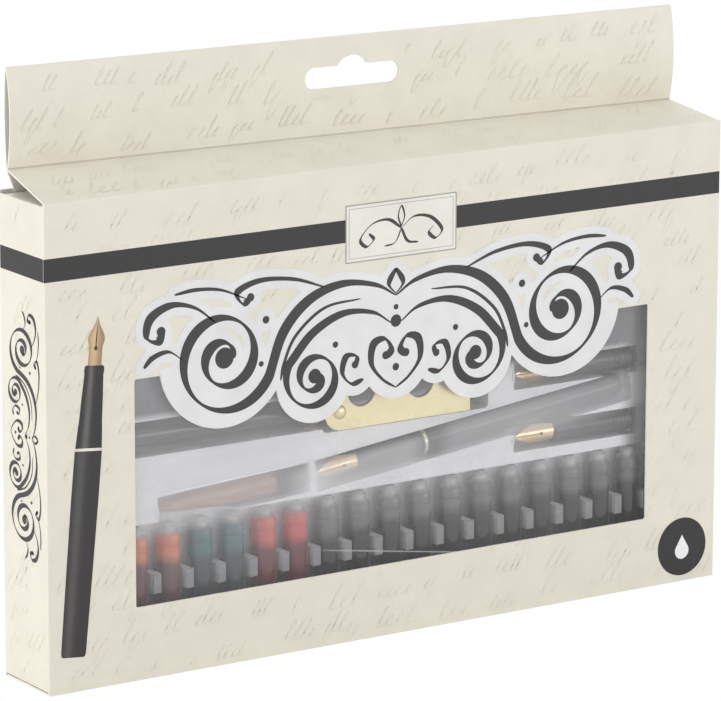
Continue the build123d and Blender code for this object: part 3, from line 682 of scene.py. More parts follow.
lacquer = plastic_material("Black_lacquer", (0.012, 0.012, 0.014), 0.12)
moulded = plastic_material("Black_moulded", (0.020, 0.020, 0.022), 0.28)
feed_black = plastic_material("Black_feed", (0.016, 0.016, 0.016), 0.42)
gold = metal_material("Gold_plate", (0.90, 0.62, 0.26), (0.78, 0.50, 0.19), 0.14)
pale_gold = metal_material("Pale_gold", (0.90, 0.84, 0.70), (0.80, 0.73, 0.58), 0.20)
rest_brass = metal_material("Rest_brass", (1.0, 0.90, 0.52), (0.95, 0.82, 0.42), 0.20)
wood, tree, shader, where = new_material("Turned_wood", Specular_IOR_Level=0.5, Coat_Weight=0.5,
                                         Coat_Roughness=0.15)
place = where.outputs["Object"]
figure = tree.noise(tree.stretch(place, (0.12, 1.0, 1.0)), 900.0, 5.0, 0.65)
pores = tree.noise(tree.stretch(place, (0.06, 1.0, 1.0)), 4200.0, 2.0, 0.6)
tone = tree.mix(tree.smooth(figure, 0.3, 0.7), (0.55, 0.33, 0.17), (0.30, 0.155, 0.070))
tree.feed(shader.inputs["Base Color"],
          tree.mix(tree.smooth(pores, 0.60, 0.72, 0.0, 0.6), tone, (0.12, 0.055, 0.025)))
tree.feed(shader.inputs["Roughness"], tree.smooth(figure, 0.3, 0.7, 0.28, 0.42))
tree.feed(shader.inputs["Normal"], tree.bump(pores, 0.15, 0.0001))

ferrule, tree, shader, where = new_material("Ferrule", Metallic=0.85, Specular_IOR_Level=0.5)
place = where.outputs["Object"]
drawn = tree.group(drawn_metal, Place=place, Base=0.25)
tree.feed(shader.inputs["Base Color"],
          tree.mix(tree.smooth(drawn["Tint"], 0.4, 0.8), (0.050, 0.050, 0.055), (0.11, 0.105, 0.10)))
tree.feed(shader.inputs["Roughness"], drawn["Roughness"])
tree.feed(shader.inputs["Normal"], tree.bump(drawn["Height"], 0.15, 0.0001))
# %% Nib look: drawn gold with its slit, breather hole and a fine engraved line
nib_gold, tree, shader, where = new_material("Nib_gold", Metallic=1.0)
drawn = tree.group(drawn_metal, Place=where.outputs["Object"], Base=0.16)
across, along, _ = tree.split(where.outputs["UV"])
side = tree.math("ABSOLUTE", across)
slit = tree.math("MULTIPLY", tree.smooth(side, 0.07, 0.14, 1.0, 0.0),
                 tree.smooth(along, 9.0, 9.3, 1.0, 0.0))
hole_off = tree.math("SUBTRACT", along, 9.2)
hole_far = tree.math("ADD", tree.math("MULTIPLY", across, across),
                     tree.math("MULTIPLY", hole_off, hole_off))
hole = tree.smooth(hole_far, 0.16, 0.34, 1.0, 0.0)
edge_line = tree.math("SUBTRACT", tree.math("DIVIDE", along, 4.4), side)
engraved = tree.smooth(tree.math("ABSOLUTE", tree.math("SUBTRACT", edge_line, 0.12)), 0.03, 0.08,
                       0.35, 0.0)
mark = tree.math("MAXIMUM", tree.math("MAXIMUM", slit, hole), engraved)
plated = tree.mix(tree.smooth(drawn["Tint"], 0.35, 0.75), (0.96, 0.74, 0.42), (0.86, 0.60, 0.29))
tree.feed(shader.inputs["Base Color"], tree.mix(mark, plated, (0.07, 0.04, 0.02)))
tree.feed(shader.inputs["Roughness"], drawn["Roughness"])
tree.feed(shader.inputs["Normal"], tree.bump(tree.math(
    "SUBTRACT", tree.math("MULTIPLY", drawn["Height"], 0.2), mark), 0.4, 0.0001))

# %% [markdown]
# ### Turned pieces and nibs
#
# The frame's small round pieces are kept plain.  Here each is turned again about the same axis
# with its beads, grooves and rounded ends, and stands for the plain one.  A turned piece is a list
# of (s, r) pairs, and its ring number k is p + s_k a + r_k (u cos t + v sin t), with p the start,
# a the axis and u, v two directions across it.


# %% Lathe and nib builders
def shaded_piece(name, verts, faces, material, node, uvs=None, sharp=40.0):
    """A smooth mesh that rides on the sleeve and stands for one CAD node."""
    mesh = bpy.data.meshes.new(name)
    mesh.from_pydata((np.asarray(verts) * MM).tolist(), [], faces)
    if uvs is not None:
        layer = mesh.uv_layers.new(name="Flat")
        loops = np.empty(len(mesh.loops), dtype=np.int64)
        mesh.loops.foreach_get("vertex_index", loops)
        layer.data.foreach_set("uv", np.asarray(uvs, np.float32)[loops].ravel())
    mesh.materials.append(material)
    mesh.validate()
    mesh.shade_smooth()
    mesh.set_sharp_from_angle(angle=math.radians(sharp))
    made = bpy.data.objects.new(name, mesh)
    bpy.context.scene.collection.objects.link(made)
    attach(made, "sleeve")
    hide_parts(node)
    return made


def lathe(name, start, along, profile, material, node, sides=36):
    """Turn (s, r) pairs about an axis; a pair with r = 0 closes the piece with a fan."""
    axis = np.asarray(along, float) / np.linalg.norm(along)
    first = np.cross(axis, (0.0, 1.0, 0.0))
    if np.linalg.norm(first) < 0.1:
        first = np.cross(axis, (1.0, 0.0, 0.0))
    first /= np.linalg.norm(first)
    second = np.cross(axis, first)
    turn = np.linspace(0, 2 * np.pi, sides, endpoint=False)
    ring = first * np.cos(turn)[:, None] + second * np.sin(turn)[:, None]
    verts, rows, faces = [], [], []
    for s, r in profile:
        middle = np.asarray(start, float) + axis * s
        row = [len(verts)] * sides if r == 0 else list(range(len(verts), len(verts) + sides))
        verts += [middle] if r == 0 else list(middle + ring * r)
        rows.append(row)
    for low, high in zip(rows[:-1], rows[1:]):
        for i in range(sides):
            j = (i + 1) % sides
            corners = (low[i], low[j], high[j], high[i])
            faces.append(tuple(dict.fromkeys(corners)))
    made = shaded_piece(name, verts, [f for f in faces if len(f) > 2], material, node)
    return made


def nib_piece(name, start, along, node):
    """Sheet nib: half width w(s), face at depth -(R - v^2 / 2R), thickness on the inner side."""
    axis = np.asarray(along, float) / np.linalg.norm(along)
    across = np.cross((0.0, -1.0, 0.0), axis)
    stations = np.concatenate([np.linspace(0, 11, 34), np.linspace(11.5, 14.4, 5)])
    half = np.interp(stations, (0, 0.5, 1.5, 3.0, 4.5, 6.0, 7.5, 9.0, 10.5, 12.0, 14.4),
                     (0.22, 0.48, 0.98, 1.66, 2.24, 2.66, 2.92, 2.90, 2.66, 2.46, 2.38))
    lanes = np.linspace(-1, 1, 17)
    grid_s, grid_l = np.meshgrid(stations, lanes, indexing="ij")
    v = grid_l * half[:, None]
    radius = 2.75
    depth = radius - v ** 2 / (2 * radius) - 0.25 * np.clip(1 - grid_s / 3.0, 0, 1) ** 2
    base = np.asarray(start, float)
    verts, uvs = [], []
    for inner in (0.0, 0.28):
        y = -(depth - inner)
        flat = (base + grid_s[..., None] * axis + v[..., None] * across
                + y[..., None] * np.array([0.0, 1.0, 0.0]))
        verts += list(flat.reshape(-1, 3))
        uvs += list(np.stack([v.ravel(), grid_s.ravel()], axis=1))
    rows, cols = grid_s.shape
    faces = []
    for side in (0, 1):
        for i in range(rows - 1):
            for j in range(cols - 1):
                a = side * rows * cols + i * cols + j
                quad = (a, a + 1, a + cols + 1, a + cols)
                faces.append(quad if side else quad[::-1])
    rim = ([(i, 0) for i in range(rows)] + [(rows - 1, j) for j in range(1, cols)]
           + [(i, cols - 1) for i in range(rows - 2, -1, -1)] + [(0, j) for j in range(cols - 2, 0, -1)])
    rim = [i * cols + j for i, j in rim]
    for a, b in zip(rim, rim[1:] + rim[:1]):
        faces.append((a, b, b + rows * cols, a + rows * cols))
    made = shaded_piece(name, verts, faces, nib_gold, node, uvs, 50.0)
    return made


def rounded_end(s, r, radius, direction=1):
    """Pairs of a quarter round that closes a piece at s: (s -/+ radius (1 - sin a), r - ...)."""
    turn = np.radians((0, 22, 45, 66, 82))
    pairs = [(s - direction * radius * (1 - math.sin(a)), r - radius * (1 - math.cos(a)))
             for a in turn]
    return [(float(a), float(b)) for a, b in pairs] + [(s, 0.0)]


# %% Axes of the contents, repeated from the frame's named sizes
tilt = math.radians(6.5)
open_start, open_along = (-22.8, -3.95, 49.3), (math.cos(tilt), 0, math.sin(tilt))
capped_start, capped_along = (11.0, -3.5, 67.6), (-1, 0, 0)
tilt = math.radians(3.6)
holder_start, holder_along = (-75.0, -4.3, 46.2), (math.cos(tilt), 0, math.sin(tilt))

# %% Cartridges
shell_profile = [(0, 0), (0, 2.9), (0.25, 3.35), (0.8, 3.6), (30.9, 3.6), (31.1, 3.42),
                 (31.6, 3.42), (31.8, 3.6), (33.7, 3.6), (34.5, 3.35), (35.1, 2.8), (35.5, 2.2),
                 (35.9, 2.08), (36.4, 2.08), (36.55, 2.35), (37.0, 2.35), (37.15, 2.05),
                 (37.6, 1.9), (37.9, 1.5), (38.0, 1.0), (37.7, 0.8), (37.7, 0)]
for i, key in enumerate(row):
    node = f"ink_cartridge_{i + 1:02d}"
    low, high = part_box(node)
    foot = ((low[0] + high[0]) / 2 / MM, -4.7, low[2] / MM)
    lathe(f"cartridge_{i + 1:02d}", foot, (0, 0, 1), shell_profile, shells[key], node,
          28)

# %% Pens
barrel_profile = [(37.1, 0), (37.1, 4.0), (37.3, 4.2), (60.0, 4.16), (80.0, 4.05), (98.0, 3.82)]
barrel_profile += rounded_end(107.1, 3.6, 2.2)
grip_profile = [(14.4, 0), (14.4, 2.75), (14.0, 2.85), (14.0, 3.25), (14.15, 3.42), (14.7, 3.5),
                (15.3, 3.42), (15.8, 3.3), (17.5, 3.45), (22.0, 3.6), (30.0, 3.68), (33.2, 3.7),
                (33.4, 3.5), (33.9, 3.5), (34.1, 3.7), (36.0, 3.7), (36.0, 0)]
ring_profile = [(36.0, 0), (36.0, 4.2), (36.12, 4.35), (36.45, 4.35), (36.55, 4.25),
                (36.65, 4.35), (36.98, 4.35), (37.1, 4.2), (37.1, 0)]
spare_profile = grip_profile[:11]
for k in range(5):
    spare_profile += [(34.0 + 1.3 * k, 3.7), (34.2 + 1.3 * k, 3.52), (34.6 + 1.3 * k, 3.52),
                      (34.8 + 1.3 * k, 3.7)]
spare_profile += [(41.0, 3.7), (41.0, 0)]
for word, start, along in (("open_pen", open_start, open_along),
                           ("capped_pen", capped_start, capped_along)):
    lathe(word + "_turned_barrel", start, along, barrel_profile, lacquer, word + "_barrel",
          48)
    lathe(word + "_turned_ring", start, along, ring_profile, pale_gold, word + "_ring", 48)
    wear(word + "_feed", feed_black)
lathe("open_pen_turned_grip", open_start, open_along, grip_profile, moulded, "open_pen_grip",
      48)
nib_piece("open_pen_sheet_nib", open_start, open_along, "open_pen_nib")
wear("capped_pen_grip", moulded)
wear("capped_pen_nib", gold)
for word, z in (("low", 50.6), ("high", 69.2)):
    start = (45.0, -4.6, z)
    lathe("spare_turned_grip_" + word, start, (1, 0, 0), spare_profile, moulded,
          "spare_grip_" + word, 48)
    nib_piece("spare_sheet_nib_" + word, start, (1, 0, 0), "spare_nib_" + word)
    wear("spare_feed_" + word, feed_black)
cap_profile = [(35.9, 0), (35.9, 4.3), (35.98, 4.5), (33.6, 4.5), (33.58, 4.72), (33.4, 4.8),
               (-19.6, 4.8)]
cap_profile += rounded_end(-22.0, 4.8, 2.2, -1)
lathe("pen_turned_cap", capped_start, capped_along, cap_profile, lacquer, "pen_cap",
      48)
band_profile = [(33.6, 4.5), (33.62, 4.76), (33.75, 4.83), (34.2, 4.83), (34.3, 4.74),
                (34.45, 4.74), (34.55, 4.83), (35.8, 4.83), (35.95, 4.76), (35.98, 4.5)]
lathe("pen_cap_turned_band", capped_start, capped_along, band_profile, gold, "pen_cap_band",
      48)
wear("pen_clip", gold)

# %% Holder and rivet
wood_profile = [(0, 0), (0.08, 0.55), (0.4, 1.0), (1.1, 1.35), (5.0, 1.85), (10.0, 2.5),
                (15.0, 3.05), (20.0, 3.45), (25.0, 3.66), (30.0, 3.74), (36.0, 3.74), (38.0, 3.7),
                (38.0, 0)]
lathe("penholder_turned_wood", holder_start, holder_along, wood_profile, wood, "penholder_wood",
      40)
ferrule_profile = [(38.0, 0), (38.0, 3.88), (38.15, 4.0)]
for middle in (40.25, 42.5, 44.75):
    ferrule_profile += [(middle - 0.5, 4.0), (middle - 0.38, 3.72), (middle + 0.38, 3.72),
                        (middle + 0.5, 4.0)]
ferrule_profile += [(46.85, 4.0), (47.0, 3.85), (47.0, 2.35), (46.9, 2.2), (42.0, 2.2), (42.0, 0)]
lathe("penholder_turned_ferrule", holder_start, holder_along, ferrule_profile, ferrule,
      "penholder_ferrule", 40)
rivet_low, rivet_high = (np.array(v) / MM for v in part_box("pen_rest_rivet"))
rivet_start = ((rivet_low[0] + rivet_high[0]) / 2, rivet_low[1] + 1.2,
               (rivet_low[2] + rivet_high[2]) / 2)
rivet_profile = [(-1.0, 0), (-1.0, 1.1), (0, 1.1), (0, 2.1), (0.18, 2.1), (0.5, 1.95),
                 (0.85, 1.55), (1.1, 0.95), (1.2, 0.4), (1.2, 0)]
lathe("pen_rest_domed_rivet", rivet_start, (0, -1, 0), rivet_profile, rest_brass,
      "pen_rest_rivet", 36)
wear("pen_rest", rest_brass)


def soften(node, width):
    """Round a CAD node's sharp edges by a bevel of this width."""
    bevel = nodes[node].modifiers.new("Soft edges", "BEVEL")
    bevel.width = width * MM
    bevel.segments = 2
    bevel.limit_method = "ANGLE"
    bevel.angle_limit = math.radians(45)


soften("pen_rest", 0.14)
soften("tray", 0.22)

# %% [markdown]
# ## 6. The print
#
# Print inks are matt to silky on the coated board, so an ink has the board's own fine grain in
# its height and nearly the board's roughness.  The ornament, the flourishes and the writing that
# says nothing are all strokes of one broad nib: thin where the pen moves along its slant and
# thick where it moves across it.

# %% Inks
def ink_material(name, colour, rough=0.42, faded=None, fade_scale=26.0):
    made, tree, shader, where = new_material(name, Specular_IOR_Level=0.42, Coat_Weight=0.12,
                                             Coat_Roughness=0.30)
    place = where.outputs["Object"]
    grain = tree.group(board_grain, Place=place)
    shade = tree.mix(tree.smooth(grain["Tint"], 0.3, 0.7), [0.96 * c for c in colour],
                     [min(1.0, 1.05 * c) for c in colour])
    if faded:
        gone = tree.smooth(tree.noise(place, fade_scale * 5, 3.0, 0.6), 0.38, 0.62)
        shade = tree.mix(gone, shade, faded)
    tree.feed(shader.inputs["Base Color"], shade)
    tree.feed(shader.inputs["Roughness"], rough)
    tree.feed(shader.inputs["Normal"], tree.bump(grain["Height"], 0.10, 0.00006))
    return made


dark_ink = ink_material("Ink_dark", INK)
charcoal_ink = ink_material("Ink_charcoal", CHARCOAL)
margin_ink = ink_material("Ink_margin", MARGIN, 0.40)
plate_ink = ink_material("Ink_plate", (0.790, 0.775, 0.700))
line_ink = ink_material("Ink_line", (0.36, 0.35, 0.32))
white_ink = ink_material("Ink_white", (0.84, 0.84, 0.84))
faint_ink = ink_material("Ink_faint", (0.680, 0.645, 0.535), 0.47, CREAM)

# %% The scroll ornament: strokes of one side, mirrored
strokes = []


def stroke(points, thin=0.7, thick=2.6, taper=0.12):
    """Keep one stroke and its mirror image across x = 0."""
    path = np.asarray(points, float)
    width = nib_width(path, thin, thick, taper=taper)
    strokes.append((path, width))
    strokes.append((path * (-1, 1), width))


volute = spiral(57.0, 88.4, 16.2, 2.6, 205, 205 + 700, 160)
arch = smooth_path([(0.0, 99.4), (7.0, 103.2), (18.0, 104.8), (29.0, 101.6), (37.5, 93.6),
                    volute[0]], 16)
stroke(np.concatenate([arch[:-1], volute]), 0.8, 3.3, 0.05)
curl = spiral(27.5, 79.0, 9.6, 1.9, 30, 30 - 610, 130)
lower_arch = smooth_path([(1.6, 91.6), (8.0, 95.4), (18.0, 96.2), (28.0, 91.8), curl[0]], 14)
stroke(np.concatenate([lower_arch[:-1], curl]), 0.7, 2.8, 0.06)
stroke(smooth_path([(0.0, 72.6), (4.6, 75.6), (8.2, 80.4), (7.6, 86.0), (3.8, 87.2), (1.6, 84.2),
                    (3.0, 81.6)], 14), 0.8, 2.6)
stroke(smooth_path([(11.0, 76.4), (15.0, 75.6), (18.0, 79.0), (16.8, 83.6), (13.4, 83.4),
                    (13.2, 80.6)], 12), 0.6, 2.1)
stroke(smooth_path([(24.0, 104.6), (34.0, 108.0), (45.0, 109.0), (52.6, 106.6), (50.8, 103.0),
                    (47.6, 105.2)], 14), 0.6, 2.2)
stroke(smooth_path([(12.0, 99.8), (24.0, 98.6), (33.4, 92.0), (37.4, 84.6), (38.6, 79.6)], 14),
       0.4, 1.0)
stroke(smooth_path([(60.0, 99.0), (66.5, 103.8), (74.0, 105.4), (80.6, 102.6), (82.0, 97.4),
                    (78.6, 95.6), (76.6, 98.2)], 14), 0.7, 2.8)
stroke(smooth_path([(50.0, 104.4), (58.0, 107.8), (66.0, 108.8), (73.0, 108.2)], 14), 0.5, 1.8, 0.3)
stroke(smooth_path([(70.6, 89.6), (75.0, 92.4), (80.0, 91.4), (83.0, 88.8)], 14), 0.5, 1.8, 0.3)
stroke(smooth_path([(0.0, 99.8), (2.4, 103.0), (0.0, 107.2)], 16), 0.5, 1.8, 0.3)
balls = [(27.3, 79.4, 2.1), (57.0, 88.4, 3.0), (77.4, 98.4, 1.4), (48.4, 104.6, 1.2),
         (0.0, 92.0, 1.8), (3.4, 82.4, 1.2), (13.8, 81.0, 1.1), (0.0, 78.6, 1.1),
         (0.0, 96.0, 0.8), (43.4, 97.6, 1.1), (20.4, 87.6, 0.9), (45.0, 85.2, 0.8)]
balls += [(-x, z, r) for x, z, r in balls if x]

ornament = Flat()
for path, width in strokes:
    ornament.ribbon(path, width)
ball_print = Flat()
for x, z, r in balls:
    ball_print.disc(x, z, r)
stroke_points = np.concatenate([p for p, w in strokes] + [[(x, z)] for x, z, r in balls])
stroke_reach = np.concatenate([w / 2 for p, w in strokes] + [[r] for x, z, r in balls]) + 2.3


def margin_field(x, z):
    """Negative inside the white margin: near a stroke, under the arch or low in the scallops."""
    near = np.full(x.shape, 1e3)
    for k in range(0, len(stroke_points), 60):
        part = stroke_points[k:k + 60]
        far = np.hypot(x[..., None] - part[:, 0], z[..., None] - part[:, 1])
        near = np.minimum(near, (far - stroke_reach[k:k + 60]).min(axis=-1))
    low = np.min([np.hypot(x - cx, z - cz) - r for cx, cz, r in scallops], axis=0)
    low = np.maximum(low, z - 88.0)
    roof = np.interp(np.abs(x), arch[:, 0], arch[:, 1], right=0.0)
    under = np.maximum(z - roof, 72.0 - z)
    return np.maximum(np.minimum(np.minimum(near, low), under), -window_field(x, z))


margin = Flat()
margin.field(margin_field, -87.5, 87.5, 64.0, 114.5, 0.5)
print_on("print_margin", margin, on_front, LIFT * 1.6, margin_ink)
print_on("print_ornament", ornament, on_front, LIFT * 2.4, dark_ink)
print_on("print_ornament_balls", ball_print, on_front, LIFT * 3.0, dark_ink)

# %% Label plate, dot and side flourish
plate = Flat()
plate.add([(-17, 110.3), (20.5, 110.3), (20.5, 126.9), (-17, 126.9)], [(0, 1, 2, 3)])
print_on("print_plate", plate, on_front, LIFT * 1.6, plate_ink)
rule = Flat()
for inset, width in ((0.15, 0.35), (1.2, 0.16)):
    left, right, low, high = -17 + inset, 20.5 - inset, 110.3 + inset, 126.9 - inset
    for a, b in (((left, low), (right, low)), ((right, low), (right, high)),
                 ((right, high), (left, high)), ((left, high), (left, low))):
        rule.ribbon([a, b], width)
print_on("print_plate_rule", rule, on_front, LIFT * 2.2, line_ink)
sprig = Flat()
for sign in (-1, 1):
    vine = smooth_path([(0, 0), (3.4, 2.2), (7.6, 1.6), (10.6, -1.4), (9.0, -3.2), (7.2, -1.8),
                        (8.4, -0.4)], 14) * (1.3 * sign, 1.3) + (1.75, 118.6)
    sprig.ribbon(vine, nib_width(vine, 0.25, 1.15))
    leaf = smooth_path([(0, 0), (1.6, -3.0), (4.4, -3.6)], 14) * (1.3 * sign, 1.3) + (1.75, 118.6)
    sprig.ribbon(leaf, nib_width(leaf, 0.2, 0.9))
drop = smooth_path([(1.75, 119.0), (0.7, 122.0), (1.75, 125.0), (2.8, 122.0), (1.75, 119.0)], 12)
sprig.ribbon(drop, nib_width(drop, 0.2, 0.6, taper=0.02))
print_on("print_plate_sprig", sprig, on_front, LIFT * 2.2, dark_ink)

dot = Flat()
dot.disc(102.2, 10.6, 8.8, 96)
print_on("print_dot", dot, on_front, LIFT * 1.6, charcoal_ink)


def drop_field(x, z):
    """Ink drop: a disc with a point, r(a) = r0 for the lower half, drawn to a tip above."""
    dx, dz = np.abs(x - 102.2), z - 9.3
    disc = np.hypot(dx, dz) - 2.5
    cone = np.maximum(dx * 0.86 + (dz - 4.9) * 0.5, -dz + 1.2)
    return np.minimum(disc, cone)


drop_flat = Flat()
drop_flat.field(drop_field, 98.0, 106.4, 5.5, 16.0, 0.2)
print_on("print_dot_drop", drop_flat, on_front, LIFT * 2.2, white_ink)

vine = Flat()
for path, width in strokes:
    turned = np.stack([0.44 * (path[:, 1] - 89.0), 71.5 - 0.42 * path[:, 0]], axis=1)
    vine.ribbon(turned, 0.45 * width)
for x, z, r in balls:
    vine.disc(0.44 * (z - 89.0), 71.5 - 0.42 * x, 0.42 * r, 24)
print_on("print_side_vine", vine, on_left, LIFT * 1.6, dark_ink)

# %% [markdown]
# ## 7. The printed pen
#
# The printed pen is flat, but its picture has the shading of a round one: across the pen u runs
# from -1 to 1, and the tone is a dark ground with a highlight band, tone = exp(-((u - u0)/w)^2).

# %% Printed pen
pen_top, pen_end = np.array([-97.3, 105.0]), np.array([-106.3, 10.0])
pen_along = (pen_end - pen_top) / np.linalg.norm(pen_end - pen_top)
pen_total = float(np.linalg.norm(pen_end - pen_top))


def pen_part(stations):
    """A strip along the pen from (distance, half width) pairs, finely stepped across for u."""
    across = np.array([-pen_along[1], pen_along[0]])
    lanes = np.linspace(-1, 1, 9)
    verts, uvs = [], []
    for s, half in stations:
        for lane in lanes:
            verts.append(pen_top + pen_along * s + across * half * lane)
            uvs.append((lane, s))
    faces = []
    for i in range(len(stations) - 1):
        for j in range(len(lanes) - 1):
            a = i * len(lanes) + j
            faces.append((a, a + 1, a + 1 + len(lanes), a + len(lanes)))
    part = Flat()
    part.add(verts, faces, uvs)
    return part


def shaded_print(name, ground, light, place_at, width, slit=False):
    made, tree, shader, where = new_material(name, Specular_IOR_Level=0.42, Roughness=0.42,
                                             Coat_Weight=0.12, Coat_Roughness=0.3)
    u, v, _ = tree.split(where.outputs["UV"])
    off = tree.math("DIVIDE", tree.math("SUBTRACT", u, place_at), width)
    glow = tree.math("POWER", 2.71828, tree.math("MULTIPLY", tree.math("MULTIPLY", off, off), -1.0))
    mottled = tree.noise(where.outputs["Object"], 500.0, 3.0)
    glow = tree.math("MULTIPLY", glow, tree.smooth(mottled, 0.2, 0.8, 0.8, 1.1))
    colour = tree.mix(glow, ground, light)
    if slit:
        line = tree.smooth(tree.math("ABSOLUTE", u), 0.05, 0.10, 1.0, 0.0)
        upper = tree.smooth(v, 8.2, 8.5, 1.0, 0.0)
        hole_u = tree.math("MULTIPLY", u, 2.4)
        hole_v = tree.math("SUBTRACT", v, 8.6)
        hole = tree.smooth(tree.math("ADD", tree.math("MULTIPLY", hole_u, hole_u), tree.math(
            "MULTIPLY", hole_v, hole_v)), 0.25, 0.55, 1.0, 0.0)
        mark = tree.math("MAXIMUM", tree.math("MULTIPLY", line, upper), hole)
        colour = tree.mix(mark, colour, (0.05, 0.03, 0.02))
    tree.feed(shader.inputs["Base Color"], colour)
    return made


black_print = shaded_print("Print_pen_black", (0.030, 0.027, 0.027), (0.085, 0.080, 0.078), -0.45, 0.35)
grip_print = shaded_print("Print_pen_grip", (0.026, 0.024, 0.024), (0.13, 0.125, 0.12), -0.30, 0.28)
gold_print = shaded_print("Print_pen_gold", (0.34, 0.215, 0.120), (0.66, 0.47, 0.27), -0.25, 0.65, True)
ring_print = shaded_print("Print_pen_ring", (0.58, 0.54, 0.47), (0.86, 0.83, 0.76), 0.0, 0.8)
nib_shape = [(0.0, 0.2), (1.2, 0.45), (2.6, 1.1), (4.2, 2.05), (5.6, 2.65), (6.6, 2.6), (7.8, 2.2),
             (9.4, 2.05), (13.4, 2.15)]
print_on("print_pen_nib", pen_part(nib_shape), on_front, LIFT * 1.6, gold_print)
print_on("print_pen_grip", pen_part([(13.4, 2.7), (13.9, 3.1), (15.0, 3.15), (15.8, 3.0),
                                     (22.0, 3.35), (29.0, 3.65), (31.0, 3.85), (36.5, 4.2)]),
         on_front, LIFT * 1.6, grip_print)
print_on("print_pen_ring", pen_part([(36.5, 4.35), (37.3, 4.35)]), on_front, LIFT * 1.6, ring_print)
print_on("print_pen_barrel", pen_part([(37.3, 4.3), (50.0, 4.35), (70.0, 4.2),
                                       (pen_total - 1.2, 3.95), (pen_total - 0.3, 3.75),
                                       (pen_total, 3.3)]), on_front, LIFT * 1.6, black_print)
# %% [markdown]
# ## 8. Faint writing that says nothing
#
# Rows of slanted loops and hooks cover every printed face, a little darker than the board and
# half faded.  A letter is one loop: up to its height, back down to the line and on to the next.
# The heights are random, so the rows look like an old letter and hold no words.

# %% Writing
rng = np.random.default_rng(11)


def written_row(left, right, line):
    """Paths of one row: groups of 1 to 4 slanted loops, x = x0 + 0.5 z, with wide gaps between."""
    paths = []
    x = left + rng.uniform(0, 12)
    while x < right - 8:
        size = rng.uniform(1.2, 2.0)
        points = [(x, 0.0)]
        for _ in range(rng.integers(1, 5)):
            wide = rng.uniform(1.2, 2.3) * size
            kind = rng.random()
            high = rng.uniform(1.3, 2.0) * size
            if kind < 0.40:
                high = rng.uniform(2.8, 3.9) * size
            low = 0.0 if kind < 0.80 else -rng.uniform(1.6, 2.6) * size
            points += [(x + wide * 0.55, high * 0.8), (x + wide * 0.42, high),
                       (x + wide * 0.20, high * 0.55), (x + wide * 0.30, low * 0.9 + 0.05),
                       (x + wide * 0.62, low + 0.1), (x + wide, 0.25 * size)]
            x += wide
        path = smooth_path(points, 5)
        path[:, 0] += 0.5 * path[:, 1]
        wave = 1.2 * math.sin(x * 0.07 + line)
        paths.append(path + (0, line + wave))
        x += rng.uniform(3.0, 13.0)
    return paths


def writing(name, face, left, right, low, high, keep, body="sleeve", pitch=8.4):
    """Rows of writing between low and high; keep(x, z) says where the print may lie."""
    flat = Flat()
    line = low + rng.uniform(2.0, 4.0)
    while line < high - 2.0:
        for path in written_row(left + 1.0, right - 1.0, line):
            good = keep(path[:, 0], path[:, 1])
            good &= (path[:, 0] > left + 0.6) & (path[:, 0] < right - 0.6)
            good &= (path[:, 1] > low + 0.4) & (path[:, 1] < high - 0.4)
            cuts = np.flatnonzero(np.diff(good.astype(int))) + 1
            for part, ok in zip(np.split(path, cuts), np.split(good, cuts)):
                if ok[0] and len(part) > 3:
                    flat.ribbon(part, nib_width(part, 0.12, 0.50, taper=0.05))
        line += pitch + rng.uniform(-0.8, 0.8)
    print_on(name, flat, face, LIFT * 0.8, faint_ink, body)


def anywhere(x, z):
    return np.ones(x.shape, bool)


def clear_of_band(x, z):
    return (z < band_low - 0.3) | (z > band_high + 0.3)


def clear_of_window(x, z):
    return (window_field(x, z) > 0.5) & clear_of_band(x, z)


def clear_of_slot(x, up):
    return (np.abs(x) > 17.5) | (up < 12.0) | (up > 25.0)


writing("print_writing_front", on_front, -half_width, half_width, 0.5, box_height - 0.5,
        clear_of_window)
writing("print_writing_back", on_back, -half_width, half_width, 0.5, box_height - 0.5,
        clear_of_band)
writing("print_writing_left", on_left, -11.4, 11.4, 1.6, 136.4, clear_of_band)
writing("print_writing_right", on_right, -11.4, 11.4, 1.6, 136.4, clear_of_band)
writing("print_writing_header", on_header, -header_half, header_half, 0.8, 27.0, clear_of_slot,
        "lid")
writing("print_writing_header_back", on_header_back, -header_half, header_half, 0.8, 27.0,
        clear_of_slot, "lid")
writing("print_writing_lid", on_lid, -header_half, header_half, 0.4, 21.8, anywhere, "lid")

# %% [markdown]
# ## 9. Stage, light and camera
#
# The set stands on a white floor before white, under one large soft light from the front left
# and a weaker one from the right, so the left side is the brightest face and the lid the darkest.
# The camera's place and its long lens follow from the photograph's vanishing lines.

# %% Stage
floor_mesh = bpy.data.meshes.new("floor")
floor_mesh.from_pydata([(-6, -6, 0), (6, -6, 0), (6, 6, 0), (-6, 6, 0)], [], [(0, 1, 2, 3)])
floor = bpy.data.objects.new("floor", floor_mesh)
bpy.context.scene.collection.objects.link(floor)
floor_look, tree, shader, where = new_material("Floor")
pale = tree.node("ShaderNodeBsdfDiffuse")
tree.feed(pale.inputs["Color"], (0.86, 0.86, 0.86))
bright = tree.node("ShaderNodeEmission")
tree.feed(bright.inputs["Color"], (1.0, 1.0, 1.0))
ray = tree.node("ShaderNodeLightPath")
seen = tree.node("ShaderNodeMixShader")
tree.feed(seen.inputs[0], ray.outputs["Is Camera Ray"])
tree.feed(seen.inputs[1], pale.outputs[0])
tree.feed(seen.inputs[2], bright.outputs[0])
tree.feed(floor_look.node_tree.nodes["Material Output"].inputs["Surface"], seen.outputs[0])
floor_look.node_tree.nodes.remove(shader)
floor_mesh.materials.append(floor_look)

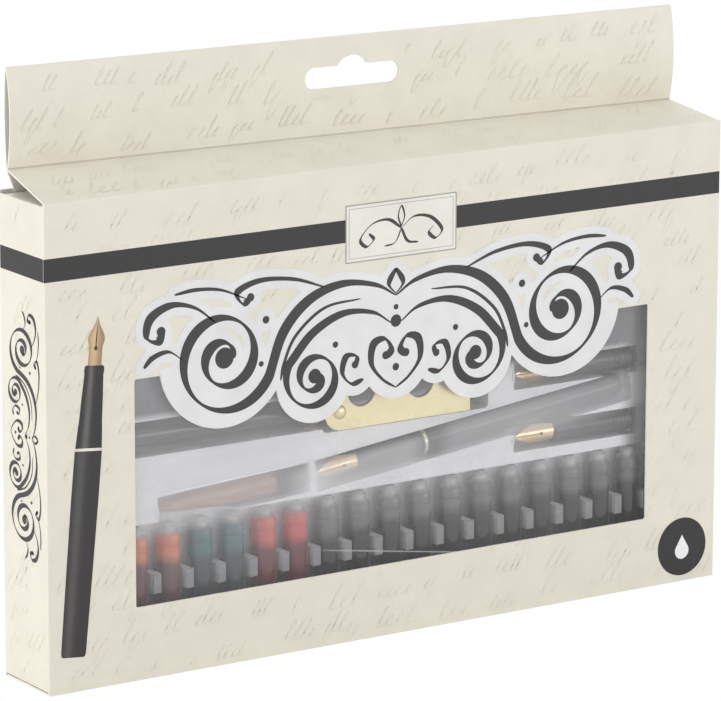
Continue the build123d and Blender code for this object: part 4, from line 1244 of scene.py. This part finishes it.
world = bpy.data.worlds.new("Studio")
bpy.context.scene.world = world
world.use_nodes = True
tree = Tree(world.node_tree)
sky = world.node_tree.nodes["Background"]
ray = tree.node("ShaderNodeLightPath")
direct = tree.math("MAXIMUM", ray.outputs["Is Camera Ray"], ray.outputs["Is Transmission Ray"])
tree.feed(sky.inputs["Color"], (1.0, 1.0, 1.0))
tree.feed(sky.inputs["Strength"], tree.math("MAXIMUM", 0.755, direct))


def soft_light(name, place, aim, size, power, colour=(1.0, 1.0, 1.0)):
    data = bpy.data.lights.new(name, "AREA")
    data.shape = "RECTANGLE"
    data.size, data.size_y = size
    data.energy = power
    data.color = colour
    light = bpy.data.objects.new(name, data)
    bpy.context.scene.collection.objects.link(light)
    light.location = place
    light.rotation_euler = (Vector(aim) - Vector(place)).to_track_quat("-Z", "Y").to_euler()


soft_light("Side", (-2.2, -0.1, 0.3), (0, 0, 0.08), (1.2, 1.2), 25.0)
soft_light("Front", (0.80, -1.32, 0.10), (0.05, 0, 0.03), (1.2, 0.8), 7.6)
soft_light("Back", (0.6, 1.8, 1.1), (0, 0, 0.08), (1.2, 1.0), 6.0)
soft_light("Top", (0.1, -0.3, 2.1), (0, 0, 0.08), (1.6, 1.6), 5.0)

# %% Camera
view = bpy.data.cameras.new("Camera")
camera = bpy.data.objects.new("Camera", view)
bpy.context.scene.collection.objects.link(camera)
yaw, pitch, roll = 0.5805, 0.2303, 0.0017
forward = Vector((math.sin(yaw) * math.cos(pitch), math.cos(yaw) * math.cos(pitch),
                  -math.sin(pitch)))
sideways = Vector((math.cos(yaw), -math.sin(yaw), 0.0))
upward = sideways.cross(forward)
turn = Matrix((sideways, upward, -forward)).transposed().to_4x4()
camera.matrix_world = (Matrix.Translation((-0.7857, -1.1920, 0.4156)) @ turn
                       @ Matrix.Rotation(roll, 4, "Z"))
view.sensor_width = 36.0
view.lens = 256.86
view.clip_start = 0.05
bpy.context.scene.camera = camera
bpy.context.scene.view_settings.view_transform = "Standard"

note_size()
